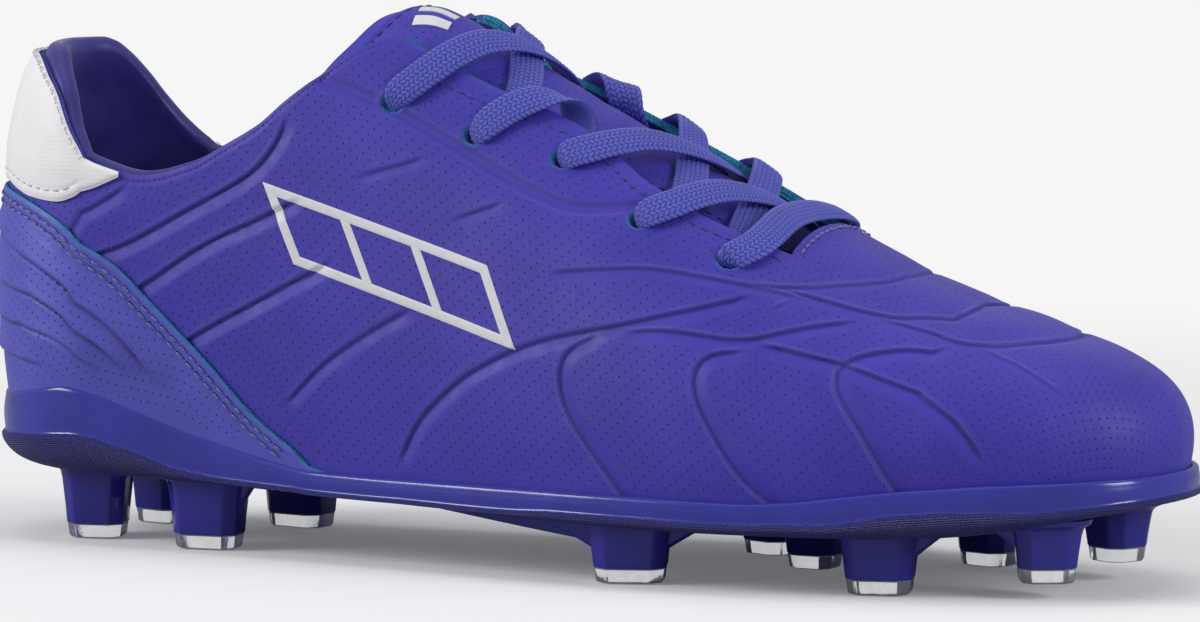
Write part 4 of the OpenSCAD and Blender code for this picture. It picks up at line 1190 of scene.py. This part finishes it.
def make_studs():
    bodies, tips = [], []
    for stud in HEEL_STUDS + FORE_STUDS:
        ground = max(0.0, (stud.x - 195) * 0.3)     # the sole rises towards the toe
        top = float(UNDER_Z(stud.x)) + 0.6
        low = ground + TIP
        bodies.append(tube([
            octagon(stud, grow, low + rise + share * (top - low), 4, rounding)
            for grow, rise, share, rounding in BODY_ROWS]))
        tips.append(tube([octagon(stud, grow, ground + rise, 3, rounding)
                          for grow, rise, rounding in TIP_ROWS]))
        for reach, sign in ((stud.ahead, 1), (stud.behind, -1)):
            if reach > 0:
                bodies.append(fin(stud, reach, sign, low + 1.5, top))
    bodies += [long_rib(*rib) for rib in LONG_RIBS]
    build("stud_bodies", *merge(bodies), "stud", "plate", sharp=26)
    heel = len(HEEL_STUDS)
    for name, part in (("heel", tips[:heel]), ("forefoot", tips[heel:])):
        build("stud_tips_" + name + "_clear", *merge(part), "clear", "clear_tip",
              "stud_tips_" + name, sharp=18)


# ------------------------------------------------------------------ collar and linings
# radius of the padding roll, and its rise over the topline, over the way
ROLL = Profile((0,2.15), (0.6,2.1), (0.85,1.9), (1.0,1.6), (1.1,1.35), (1.25,1.15), (1.36,0.8))
ROLL_RISE = Profile((0,1.5), (0.5,1.3), (0.75,0.8), (0.95,0.1), (1.1,-0.25), (1.25,-0.3),
                    (1.36,-0.5))

def capsule(start, end, out, radius, bulge):
    ahead = unit(end - start)
    side = unit(np.cross(out, ahead))
    up = np.cross(ahead, side)
    return tube([oval(start + (end - start) * u + up * bulge * math.sin(math.pi * u),
                      radius * size, side, up, count=5)
                 for u, size in ((0, .35), (.15, .85), (.5, 1), (.85, .85), (1, .35))])

def make_collar():
    """Padded collar, and the over-edge stitches that join it to the topline."""
    count = 300 // COARSE
    ways = np.linspace(-1.352, 1.352, count + 1)
    edge = edge_climb(ways)
    line, out = on_last(ways, edge), normal(ways, edge)
    up = unit(line - on_last(ways, edge - 2.0))
    radius, rise = ROLL(np.abs(ways))[:, None], ROLL_RISE(np.abs(ways))[:, None]

    def roll(degrees):
        turn = math.radians(degrees)
        return (line + out * (-1.0 - radius - radius * math.cos(turn))
                + up * (rise + radius * 1.05 * math.sin(turn) - 0.2))

    low = 3.0
    loop = []
    for u in np.linspace(0, 1, 44 // COARSE):       # inner face, from the bottom up
        climb = low + (edge - 1.0 - low) * u
        z = on_last(ways, climb)[:, 2]
        depth = 2.0 + (2 * radius[:, 0] - 1.0) * smooth((z - 38) / 16)
        wrinkle = (0.10 * np.sin(z * 0.55 + 2.0 * np.sin(ways * 5.0)) * smooth((z - 40) / 10)
                   * smooth((edge - climb) / 12))
        loop.append(lifted(ways, climb, wrinkle - depth))
    loop += [roll(degrees) for degrees in np.linspace(8, 172, 23)]
    loop += [lifted(ways, edge - 1.2 + (low - edge + 1.2) * u, -1.28 - 0.1 * u)
             for u in np.linspace(0, 1, 10)]
    points = np.stack(loop, 1)
    size = len(loop)
    faces = quads(vertex_ids(count + 1, size).T, closed_rows=True, across=True).tolist()
    build("collar_padding", points.reshape(-1, 3), faces + end_caps(count + 1, size), "satin",
          "collar", "collar_foam collar_lining", sharp=75)

    parts = {False: [], True: []}
    tab_top, collar_top = lifted(ways, edge, 0.62) + up * 0.1, roll(170)
    knots = run_lengths(line)
    for k, at in enumerate(np.arange(2.5, knots[-1] - 2.5, 1.05)):
        way = np.interp(at, knots, ways)
        on_tab = bool(abs(way) < 1.0)
        slant = np.clip(at + (0.35 if k % 2 else -0.35), 0, knots[-1])
        end = sample(tab_top if on_tab else collar_top, knots, slant)
        climb = edge_climb(way)
        drop, height = (0.75, 0.95) if on_tab else (1.1, -0.02)
        per_degree = np.linalg.norm(on_last(way, climb) - on_last(way, climb - 1.0))
        start = lifted(way, climb - drop / max(per_degree, .3), height)
        out_here = normal(way, climb)
        parts[on_tab].append(capsule(start, end + out_here * 0.1, out_here, radius=0.15,
                                     bulge=0.22))
    build("topline_stitching", *merge(parts[False]), "thread_blue", "thread", weld=False)
    build("topline_stitching_tab", *merge(parts[True]), "thread_pale", "thread_pale",
          weld=False)

def make_vamp_lining():
    """Knit lining of the front half."""
    ways = UPPER_WAYS[::4]
    lower = 36
    place = climb_grid(ways, 1.2, edge_climb(ways) * 0.985, lower, 9)
    on = np.repeat((nearer(ways) > 1.235)[:, None], place[0].shape[1] - 1, 1)
    on[:, lower:] = (nearer(ways) > THROAT_WAY + 0.01)[:, None]
    verts, faces, _ = slab(lifted(*place, -2.62), lifted(*place, -2.95), on, closed=True)
    build("vamp_lining", verts, faces, "inner", "lining", "quarter_lining", sharp=70)

def eyestay_grid(side, start, end, columns, far, near, rows):
    """x, y and share of a strip beside the lace opening, from far to near its edge."""
    xs = np.linspace(start, end, columns)[:, None]
    share = np.linspace(0, 1, rows)[None] + 0 * xs
    y = side * (THROAT(side, xs) + far + (near - far) * share)
    return xs + 0 * share, y, share

def make_eyestays():
    # teal reinforcement under the eyelet rows
    for side, name in SIDES:
        x, y, share = eyestay_grid(side, 84.2, 157.4, columns=120 // COARSE, far=9.5,
                                   near=-0.45, rows=22)
        edge = smooth((share - 0.93) / 0.07)
        verts, faces, parts = slab(lifted_xy(x, y, -1.32 - 0.10 * edge),
                                   lifted_xy(x, y, -2.05 + 0.12 * edge))
        build("eyestay_backing_" + name + "_strip", verts, faces, "backing backing edge",
              "backing", "eyestay_backing_" + name, face_mats=parts, sharp=70)
    # thin lining sheet beneath it
    for side, name in SIDES:
        x, y, _ = eyestay_grid(side, 84.5, 157, columns=100 // COARSE, far=11, near=0.2, rows=14)
        verts, faces, _ = slab(lifted_xy(x, y, -2.12), lifted_xy(x, y, -2.5))
        build("eyestay_lining_" + name, verts, faces, "inner", "lining", sharp=70)

def make_opening_stitching():
    parts = []
    xs = np.linspace(87, 157, 80)
    for side, _ in SIDES:
        y = side * (THROAT(side, xs) + 2.2)
        parts += stitches(lifted_xy(xs, y, 0.02), normal_xy(xs, y), length=1.5, gap=0.7,
                          radius=0.13, lift=0.08)
    build("eyestay_stitching", *merge(parts), "thread_blue", "thread", weld=False)
    ys = np.linspace(-16, 14, 60)
    parts = stitches(lifted_xy(159.3, ys, 0.1), normal_xy(159.3, ys), length=1.5, gap=0.5,
                     radius=0.2, lift=0.14)
    build("lace_opening_stitching", *merge(parts), "thread_grey", "thread", "throat_stitching",
          weld=False)

def paint_hidden_parts():
    """Pieces inside the boot keep their CAD shape and get their own materials."""
    for name, key in (("strobel_board", "board"), ("heel_counter", "stiff"),
                      ("toe_puff", "stiff"), ("lace_aglets", "aglet")):
        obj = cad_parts[name]
        if not obj.material_slots:
            obj.data.materials.append(MAT[key])
        for slot in obj.material_slots:
            slot.material = MAT[key]


# ------------------------------------------------------------------ tongue
# half width over x, and x of its top edge over the share of its width
TONGUE = Sided([(63,19),(74,20.5),(100,19.5),(148,15.5),(153,14.5)],
               [(63,15),(74,16.5),(100,16),(148,12),(153,11)])
TONGUE_END = Profile((0,66), (0.15,72.5), (0.29,76), (0.435,78.5), (0.7,81), (0.88,83), (1,84))
TONGUE_FRONT = 153

def dip(x):
    """Extra depth below the last towards the top of the tongue."""
    return 3.4 * smooth((88 - np.asarray(x, float)) / 14)

def tongue_y(x, share):
    return -TONGUE.outer(x) + (TONGUE.outer(x) + TONGUE.inner(x)) * share

def tongue_edge(x, y):
    """Distance to the free edge of the tongue."""
    outer, inner = TONGUE.outer(x), TONGUE.inner(x)
    share = np.clip((y + outer) / (outer + inner), 0, 1)
    return np.minimum(TONGUE(y, x) - np.abs(y), (x - TONGUE_END(share)) * 0.8)

def tongue_at(x, y, extra=0.0):
    edge = tongue_edge(x, y)
    padding = (0.35 * smooth((edge - 3) / 5) - 1.0 * (1 - smooth(edge / 2.2))
               - 0.22 * bell(edge - 2.6, 0.6))
    wrinkle = (0.10 * np.sin(x * 0.42 + 0.03 * y) * smooth((x - 78) / 6)
               + 0.09 * np.sin(x * 0.9 + 0.2 * y)) * 0.6 * smooth(edge / 3)
    return lifted_xy(x, y, -4.6 - dip(x) + padding + wrinkle + extra)

def make_tongue():
    rows, columns = ((220, 90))
    share = np.linspace(0, 1, columns + 1)
    share = share * 0.6 + 0.4 * (0.5 - 0.5 * np.cos(math.pi * share))
    down = np.linspace(0, 1, rows + 1)[:, None] ** 1.25
    end = TONGUE_END(share)[None]
    x = end + (TONGUE_FRONT - end) * down
    y = tongue_y(x, share[None])
    edge = tongue_edge(x, y)
    under = lifted_xy(x, y, -9.1 - dip(x) + 2.8 * (1 - smooth(edge / 4.5)))
    verts, faces, parts = slab(tongue_at(x, y), under)
    build("tongue_pad", verts, faces, "tongue satin blue_edge", "upper",
          "tongue_face tongue_foam tongue_lining", body="tongue", face_mats=parts,
          uv=np.stack([x, np.abs(y) + 1.0], -1), sharp=75,
          attrs={"dots": smooth((edge - 3.6) / 0.6), "lip": 0, "painted_shade": 0, "teal": 0})

def make_tongue_stitching():
    lines = []
    for side, end, count in ((-1, 74, 120), (1, 88, 110)):
        x = np.linspace(146, end, count)
        lines.append((x, side * (TONGUE(side, x) - 2.6)))
    share = np.linspace(0.12, 0.9, 60)
    x = TONGUE_END(share) + 3.3
    lines.append((x, tongue_y(x, share)))
    parts = []
    for x, y in lines:
        parts += stitches(tongue_at(x, y, 0.12), normal_xy(x, y), length=1.5, gap=0.8,
                          radius=0.13, lift=0.08)
    build("tongue_stitching", *merge(parts), "thread_blue", "thread", body="tongue", weld=False)

def make_badge():
    """Two plain slanted bars on the tongue."""
    parts = []
    along, across = np.linspace(0, 1, 14)[:, None], np.linspace(0, 1, 8)[None]
    for start in (-11.0, -6.4):
        x = 83.4 + 6.6 * along + 0 * across
        y = start + 2.6 * across + 2.6 * along
        parts.append(slab(tongue_at(x, y, 0.26), tongue_at(x, y, 0.02))[:2])
    build("tongue_badge_bars", *merge(parts), "print", "badge", "tongue_badge", body="tongue",
          sharp=60)


# ------------------------------------------------------------------ woven lace
LACE_HALF, LACE_THICK = 3.0, 0.46       # half width and half thickness
BRAID_COLUMNS, BRAID_PITCH = 7.0, 0.95
# how far back a strap lies, in sixteenths of the row pitch, over its share of the way across
LEAN = Profile((0,16), (0.08,19.6), (0.17,21.4), (0.5,18), (0.8,10.6), (0.92,5.6), (1,0))
LEAN_LOWEST = Profile((0,16), (0.08,16.2), (0.17,16), (0.5,13.8), (0.8,8.6), (0.92,4.6), (1,0))

def spline(rows, step):
    """Centripetal Catmull-Rom curve through rows whose first three columns are the place."""
    times = np.r_[0, np.cumsum(np.linalg.norm(np.diff(rows[:, :3], axis=0), axis=1) ** 0.5)]
    knots = np.concatenate([[2 * rows[0] - rows[1]], rows, [2 * rows[-1] - rows[-2]]])
    times = np.r_[2 * times[0] - times[1], times, 2 * times[-1] - times[-2]]
    curve = []
    for k in range(len(rows) - 1):
        t = times[k:k + 4]
        for x in np.linspace(t[1], t[2], 14)[:-1]:
            level = knots[k:k + 4]
            for low, high in ((t[:3], t[1:]), (t[:2], t[2:]), (t[1:2], t[2:3])):
                share = ((x - low) / (high - low))[:, None]
                level = level[:-1] * (1 - share) + level[1:] * share
            curve.append(level[0])
    curve.append(rows[-1])
    return resample(np.array(curve), step)

def weave(points, normals, half_widths, seed):
    """Flat braid through control points. Returns vertices, faces and relief."""
    step = 0.2
    rows = np.concatenate([points, normals, np.asarray(half_widths)[:, None]], 1)
    rows = spline(rows, step)
    knots = run_lengths(rows[:, :3])
    along = np.linspace(0, knots[-1], max(8, int(knots[-1] / step)))
    rows = sample(rows, knots, along)
    centre, out, half_width = rows[:, :3], rows[:, 3:6], rows[:, 6:]
    ahead = unit(np.gradient(centre, axis=0))
    side = unit(np.cross(out, ahead))
    out = np.cross(ahead, side)
    top_count, under_count = ((43, 11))
    bottom = np.linspace(1, -1, under_count)[1:-1]
    across = np.r_[np.linspace(-1, 1, top_count), bottom]
    up = np.r_[np.ones(top_count), -np.ones(len(bottom))]
    place = (across + 1) / 2 * BRAID_COLUMNS
    column = np.floor(np.clip(place, 0, BRAID_COLUMNS - 1e-6))
    inside = place - column - 0.5
    slant = np.where(column % 2 == 0, 0.672, -0.672)
    strand = 0.5 + 0.5 * np.cos(2 * math.pi * (along[:, None] / BRAID_PITCH + seed * 0.37
                                               + slant * inside + 0.25 * (column % 2)))
    relief = strand * (1 - np.abs(2 * inside) ** 3)
    share = half_width / LACE_HALF
    body = LACE_THICK * (1 - np.abs(across) ** 4.5) ** 0.5 * (1 + (1 - share) * 1.1)
    raised = np.where(up > 0, 0.17 * relief * (1 - np.abs(across) ** 6), 0.05 * relief)
    height = up * (body + raised) - 0.10 * across ** 2 * share
    sideways = (across * half_width
                + np.sign(across) * (np.abs(across) > 0.93) * 0.10 * strand)
    rings = centre[:, None] + side[:, None] * sideways[..., None] + out[:, None] * height[..., None]
    # the relief also drives the painted shade of the braid
    return (*tube(rings), np.where(up > 0, relief, 0.4).reshape(-1))

def into_hole(x, y, side, away=0.85):
    """Direction along the surface in which the lace arrives at a hole."""
    return unit(lifted_xy(x - away, y + side * math.sqrt(1 - away * away), 0)
                - lifted_xy(x, y, 0))

def turned(vector, other, share):
    return vector * (1 - share) + other * share

# share of the turn down into a hole at the last three points of a lace piece
TURN_DOWN = (0.3, 0.85, 1.0)

def strap(side, row, on_top):
    """Strap from the hole of a row on the other side, out under the edge, across, and down
    into the hole of the row behind it on this side."""
    x0, x1 = EYE_X[row], EYE_X[row - 1]
    y0, y1 = eyelet_y(-side, x0), eyelet_y(side, x1)
    edge0 = -side * float(THROAT(-side, x1 + 20))
    edge1 = side * float(THROAT(side, x1 + 10))
    lean = LEAN_LOWEST if row == 4 else LEAN
    heights = (-2.85, -2.05, -1.0, 0.15, 0.95) if on_top else (-3.5, -3.45, -2.6, -0.7, 0.95)
    # columns: y, height off the last, half width
    rows = [(y0, -2.3, 1.9), (y0 * 0.85 + edge0 * 0.15, -3.25, 2.4)]
    rows += [(edge0 + (edge1 - edge0) * share, height, width) for share, height, width in (
        (-0.06, -3.3, 2.9), (0.08, -3.2, 3.0),
        *((share, height, 3.0) for share, height in zip((.25, .45, .65, .82, .97), heights)))]
    rows += [(edge1 * (1 - share) + y1 * share, height, width) for share, height, width in (
        (0.30, 1.05, 3.0), (0.62, 0.98, 2.95), (0.88, 0.62, 2.65), (1, -0.75, 1.8),
        (1, -2.2, 1.6))]
    points, normals = [], []
    for y, height, _ in rows:
        share = min(max((y - y0) / (y1 - y0), 0), 1)
        x = x1 + (x0 - x1) / 16 * float(lean(share))
        points.append(lifted_xy(x, y, height))
        normals.append(normal_xy(x, y))
    for k, share in zip((-3, -2, -1), TURN_DOWN):
        normals[k] = turned(normals[k], into_hole(x1, y1, side), share)
    normals[0] = normals[0] * 0.6 - into_hole(x0, y0, -side, away=0.0) * 0.4
    return weave(points, normals, [width for _, _, width in rows],
                 seed=row if on_top else row + 0.3)

def edge_loop(side, row):
    """Lace that leaves a hole underneath, winds round the edge and goes down into the hole of
    the row behind it on the same side."""
    x0, x1 = EYE_X[row], EYE_X[row - 1]
    # columns: x, distance from the opening, height off the last, half width, turn in degrees
    rows = [(x0, EYE_IN, -2.3, 1.9, 180), (x0 + 0.6, 3.0, -3.2, 2.4, 180),
            (x0 + 0.8, 0.6, -3.5, 2.9, 180), (x0 + 0.2, -1.6, -2.9, 3.0, 140),
            (x0 - 1.6, -2.5, -1.1, 3.0, 90), (x0 - 4.2, -1.9, 0.7, 3.0, 38),
            (x0 - 7.2, -0.2, 1.3, 3.0, 8), (x0 - 10.4, 1.7, 1.15, 3.0, 0),
            (x0 - 13.2, 3.4, 1.0, 2.95, 0), (x0 - 15.3, 4.7, 0.6, 2.6, 0),
            (x1, EYE_IN, -0.75, 1.8, 0), (x1, EYE_IN, -2.2, 1.6, 0)]
    points, normals = [], []
    for k, (x, inset, height, _, degrees) in enumerate(rows, -len(rows)):
        y = side * (float(THROAT(side, x)) + inset)
        turn = math.radians(degrees)
        inward = unit(lifted_xy(x, y - side * 0.5, 0) - lifted_xy(x, y + side * 0.5, 0))
        out = normal_xy(x, y) * math.cos(turn) + inward * math.sin(turn)
        if k >= -3:
            out = turned(out, into_hole(x, y, side, away=0.93), TURN_DOWN[k + 3])
        points.append(lifted_xy(x, y, height))
        normals.append(out)
    return weave(points, normals, [row[3] for row in rows], seed=5 + side)

# columns: side, weights of the hole's y and the edge's y, height off the last, half width,
# forward shift
CROSS_BAR = [
    (-1, 1, 0, -2.2, 1.6, 0), (-1, 1, 0, -.75, 1.85, 0), (-1, .94, .06, .5, 2.5, .3),
    (-1, .66, .34, .95, 2.95, 1.6), (-1, .32, .68, 1.1, 3, 2.9), (-1, 0, .95, .9, 3, 3.7),
    (-1, 0, .5, .2, 3, 4.1), (1, 0, 0, -.3, 3, 4.2), (1, 0, .5, .2, 3, 4.4),
    (1, 0, .95, 1.1, 3, 4.4), (1, .35, .65, 1.25, 3, 3.8), (1, .7, .3, 1.0, 2.95, 2.2),
    (1, .95, .05, .5, 2.45, .5), (1, 1, 0, -.75, 1.85, 0), (1, 1, 0, -2.2, 1.6, 0)]

def cross_bar():
    """Bar across the lowest row of holes."""
    x = EYE_X[4]
    points, normals = [], []
    for k, (side, hole, edge, height, _, shift) in enumerate(CROSS_BAR):
        hole_y = eyelet_y(side, x)
        y = hole_y * hole + side * float(THROAT(side, x)) * edge
        out = normal_xy(x + shift, y)
        from_end = min(k, len(CROSS_BAR) - 1 - k)
        if from_end < 3:
            out = turned(out, into_hole(x, hole_y, side, away=0.0), (1.0, 0.85, 0.35)[from_end])
        points.append(lifted_xy(x + shift, y, height))
        normals.append(out)
    return weave(points, normals, [row[4] for row in CROSS_BAR], seed=9)

def lace_tail(side):
    """Lace end tucked down inside the upper from the top hole."""
    x = EYE_X[0]
    start = climb_y(side * way_at(x), eyelet_y(side, x))
    points, normals = [], []
    for i in range(7):
        steps = max(0, i - 1)
        place = side * way_at(x + 1.4 * steps), start - 2.2 * steps
        points.append(lifted(*place, -2.2 if i == 0 else -3.65 - 0.12 * i))
        normals.append(normal(*place))
    return weave(points, normals, [1.6, 1.8, 2.0, 2.0, 2.0, 1.8, 1.2], seed=12)

def make_lace():
    pieces = []
    for row in (1, 3, 4):
        pieces += [strap(1, row, on_top=False), strap(-1, row, on_top=True)]
    pieces += [edge_loop(side, 2) for side, _ in SIDES]
    pieces.append(cross_bar())
    pieces += [lace_tail(side) for side, _ in SIDES]
    build("lace_woven", *merge([piece[:2] for piece in pieces]), "lace", "lace", "shoelace",
          attrs={"relief": np.concatenate([piece[2] for piece in pieces])}, weld=False)


# ------------------------------------------------------------------ sockliner
CUP = Profile((0,7), (60,6), (90,3), (120,1), (222,0.6))    # height of its raised edge over x
# columns: share of the way out, height over the floor, extra inset, share of the cup height
SOCKLINER_ROWS = [
    (0, 4.25, 0, 0), (.2, 4.25, 0, 0), (.4, 4.25, 0, 0), (.6, 4.25, 0, 0), (.78, 4.3, 0, .01),
    (.9, 4.3, 0, .06), (.97, 4.3, .2, .3), (1, 4.2, .6, .62), (1, 4.1, .9, .93),
    (1, 4.0, .9, 1.0), (1, 3.6, .4, 1.0), (1, 3.0, .1, .75), (1, 2.2, 0, .35),
    (.97, 1.5, .2, .05), (.85, 1.35, 0, 0), (.6, 1.35, 0, 0), (.3, 1.35, 0, 0), (0, 1.35, 0, 0)]
COVER_ROWS = 9          # strips of faces that carry the cover

def make_sockliner():
    ways = PLATE_WAYS[::2]
    floor, cup = floor_z(ways), CUP(section(ways).wall_x)
    rows = []
    for share, rise, inset, lift in SOCKLINER_ROWS:
        points = walled(ways, 6 + inset, floor + rise + cup * lift, share)
        if rise > 2:
            x, y = points[:, 0], points[:, 1] - mid(points[:, 0])
            points[:, 2] += 1.6 * bell(x - 85, 22) * smooth((y + 2) / 16)
        rows.append(points)
    points = np.stack(rows, 1)
    faces = quads(vertex_ids(*points.shape[:2]), closed_rows=True).tolist()
    strips = len(rows) - 1
    build("sockliner_pad", points.reshape(-1, 3), faces, "foam cover", "insole_foam",
          "sockliner_foam sockliner_cover", body="sockliner", sharp=70,
          face_mats=[int(k % strips < COVER_ROWS) for k in range(len(faces))])


# ------------------------------------------------------------------ side print
# slanted frame of plain bars with two rungs: its corners in x and z
FRAME = np.array([[63, 64], [106, 52], [112, 40], [69, 52]], float)
FRAME_HALF, RUNG_WIDTH = 0.8, 1.5

def perp(vector):
    return np.array([-vector[1], vector[0]])

def strip(side, start, end, end_far, start_far, lift):
    """Film over the pressed relief, between two lines in x and z."""
    count = int(np.linalg.norm(end - start) / 0.5) + 1
    t = np.linspace(0, 1, count)[:, None, None]
    across = np.linspace(0, 1, 7)[None, :, None]
    grid = (start * (1 - t) + end * t) * (1 - across) + (start_far * (1 - t) + end_far * t) * across
    way = side * way_at(grid[..., 0])
    climb = climb_z(way, grid[..., 1])
    base, out = on_last(way, climb), normal(way, climb)
    height = emboss(base.reshape(-1, 3), side)[0].reshape(way.shape)
    top = height + lift
    top[:, [0, -1]] -= 0.10
    return slab(base + top[..., None] * out, base + (height - 0.1)[..., None] * out)[:2]

def frame_corner(k, offset):
    """Mitred corner of the frame, moved off its outline."""
    before, after = perp(unit(FRAME[k] - FRAME[k - 1])), perp(unit(FRAME[(k + 1) % 4] - FRAME[k]))
    return FRAME[k] + (before + after) * offset / (1 + before @ after)

def make_side_prints():
    corners = [(frame_corner(k, FRAME_HALF), frame_corner(k, -FRAME_HALF)) for k in range(4)]
    for side, name in SIDES:
        parts = []
        for share in (0.34, 0.67):
            top = FRAME[0] + (FRAME[1] - FRAME[0]) * share
            low = FRAME[3] + (FRAME[2] - FRAME[3]) * share
            half = perp(unit(low - top)) * RUNG_WIDTH / 2
            parts.append(strip(side, top - half, low - half, low + half, top + half, lift=0.22))
        for (a, a_far), (b, b_far) in zip(corners, corners[1:] + corners[:1]):
            parts.append(strip(side, a, b, b_far, a_far, lift=0.25))
        build("side_print_" + name + "_film", *merge(parts), "print", "print",
              "side_print_" + name, sharp=50)


# ------------------------------------------------------------------ floor, light, camera
FLOOR = 1.06                            # brightness of the floor to the camera
BACKDROP = (0.9216, 0.9216, 0.9216, 1)  # grey of the background and the far floor
SKY, SKY_STRENGTH = (0.97, 0.98, 1.0, 1), 0.30

def floor_paper():
    """Paper that fades into the backdrop, is darker to other rays and clear from below."""
    m = Material("floor_paper", (0.86, 0.86, 0.865), rough=0.7, spec=0.15)
    m.tree.nodes.remove(m.shader)
    near, unseen = m.node("BsdfDiffuse"), m.node("BsdfDiffuse")
    glow, clear = m.node("Emission"), m.node("BsdfTransparent")
    m.put(near.inputs[0], m.mottle(
        m.noise(scale=0.02), shade_floor((0.997, 0.997, 1.0)), shade_floor((1.003, 1.003, 1.005)),
        low=0.2, high=0.8))
    unseen.inputs[0].default_value = (0.40, 0.40, 0.41, 1)
    glow.inputs[0].default_value = BACKDROP
    length = m.node("VectorMath", operation="LENGTH")
    m.put(length.inputs[0], m.node("TexCoord").outputs["Object"])
    fade = m.ramp(length.outputs["Value"], low=0.19, high=0.52)     # metres from the boot
    # even beside the boot some backdrop glow is mixed in, a painted light that lightens the cast
    # shadows
    far = m.math("MAXIMUM", fade, 0.14)
    rays = m.node("LightPath").outputs
    seen = m.math("MAXIMUM", rays["Is Camera Ray"], rays["Is Transmission Ray"])
    below = m.node("NewGeometry").outputs["Backfacing"]

    def mix_shaders(share, first, second):
        node = m.node("MixShader")
        for socket, value in zip(node.inputs, (share, first, second)):
            m.put(socket, value)
        return node.outputs[0]

    visible = mix_shaders(far, near.outputs[0], glow.outputs[0])
    paper = mix_shaders(seen, unseen.outputs[0], visible)
    m.put(m.output.inputs[0], mix_shaders(below, paper, clear.outputs[0]))
    return m.data

def shade_floor(color):
    return tuple(FLOOR * c for c in color)

def make_floor():
    mesh = bpy.data.meshes.new("floor")
    z = -0.0002
    mesh.from_pydata([(-9, -9, z), (9, -9, z), (9, 9, z), (-9, 9, z)], [], [(0, 1, 2, 3)])
    mesh.materials.append(floor_paper())
    floor = bpy.data.objects.new("floor", mesh)
    bpy.context.scene.collection.objects.link(floor)

def make_world():
    """Soft sky light, with the plain backdrop where the camera looks past the boot."""
    world = bpy.data.worlds.new("studio")
    bpy.context.scene.world = world
    world.use_nodes = True
    tree = world.node_tree
    tree.nodes.clear()
    sky, backdrop, output, mix, rays, seen = (tree.nodes.new("ShaderNode" + kind) for kind in (
        "Background", "Background", "OutputWorld", "MixShader", "LightPath", "Math"))
    for node, color, strength in ((sky, SKY, SKY_STRENGTH), (backdrop, BACKDROP, 1)):
        node.inputs[0].default_value = color
        node.inputs[1].default_value = strength
    seen.operation = "MAXIMUM"
    for source, target in ((rays.outputs["Is Camera Ray"], seen.inputs[0]),
                           (rays.outputs["Is Transmission Ray"], seen.inputs[1]),
                           (seen.outputs[0], mix.inputs[0]), (sky.outputs[0], mix.inputs[1]),
                           (backdrop.outputs[0], mix.inputs[2]),
                           (mix.outputs[0], output.inputs[0])):
        tree.links.new(source, target)

def area(name, location, aim, size, power):
    light = bpy.data.lights.new(name, "AREA")
    light.shape = "RECTANGLE"
    light.size, light.size_y = size
    light.energy = power
    obj = bpy.data.objects.new(name, light)
    bpy.context.scene.collection.objects.link(obj)
    obj.location = location
    aim_line = Vector(aim) - Vector(location)
    obj.rotation_euler = aim_line.to_track_quat("-Z", "Y").to_euler()

def make_lights():
    area("overhead", location=(0.0, 0.1, 1.2), aim=(0, 0, 0.04), size=(1.3, 1.0), power=2.85)
    area("key", location=(-1.25, -0.85, 0.75), aim=(0, 0, 0.04), size=(0.75, 0.65), power=14.8)
    area("toe_strip", location=(1.1, -0.1, 0.5), aim=(0.1, 0, 0.04), size=(0.4, 0.5), power=6.0)

def make_camera():
    """Long lens that looks at the lateral side from slightly above and ahead."""
    camera = bpy.data.cameras.new("camera")
    camera.sensor_width = 36
    camera.lens = 195.6
    camera.clip_start = 0.01
    camera.clip_end = 60
    obj = bpy.data.objects.new("camera", camera)
    bpy.context.scene.collection.objects.link(obj)
    azimuth, elevation, distance = math.radians(25.857), math.radians(5.282), 1.12924
    target = Vector((0.11462 - X0 * 0.001, 0, 0.04294))
    back = Vector((math.sin(azimuth) * math.cos(elevation),
                   -math.cos(azimuth) * math.cos(elevation), math.sin(elevation)))
    obj.location = target + back * distance
    obj.rotation_euler = (-back).to_track_quat("-Z", "Y").to_euler()
    bpy.context.scene.camera = obj
    bpy.context.scene.view_settings.view_transform = "Standard"


make_materials()
# the order matters: the stitches and fibres share one random sequence
for make in (make_upper, make_overlay, make_overlay_stitching, make_edge_fibres, make_tab,
             make_plate, make_studs, make_collar, make_vamp_lining, make_eyestays,
             make_opening_stitching, paint_hidden_parts, make_tongue, make_tongue_stitching,
             make_badge, make_lace, make_sockliner, make_side_prints, make_floor, make_world,
             make_lights, make_camera):
    make()
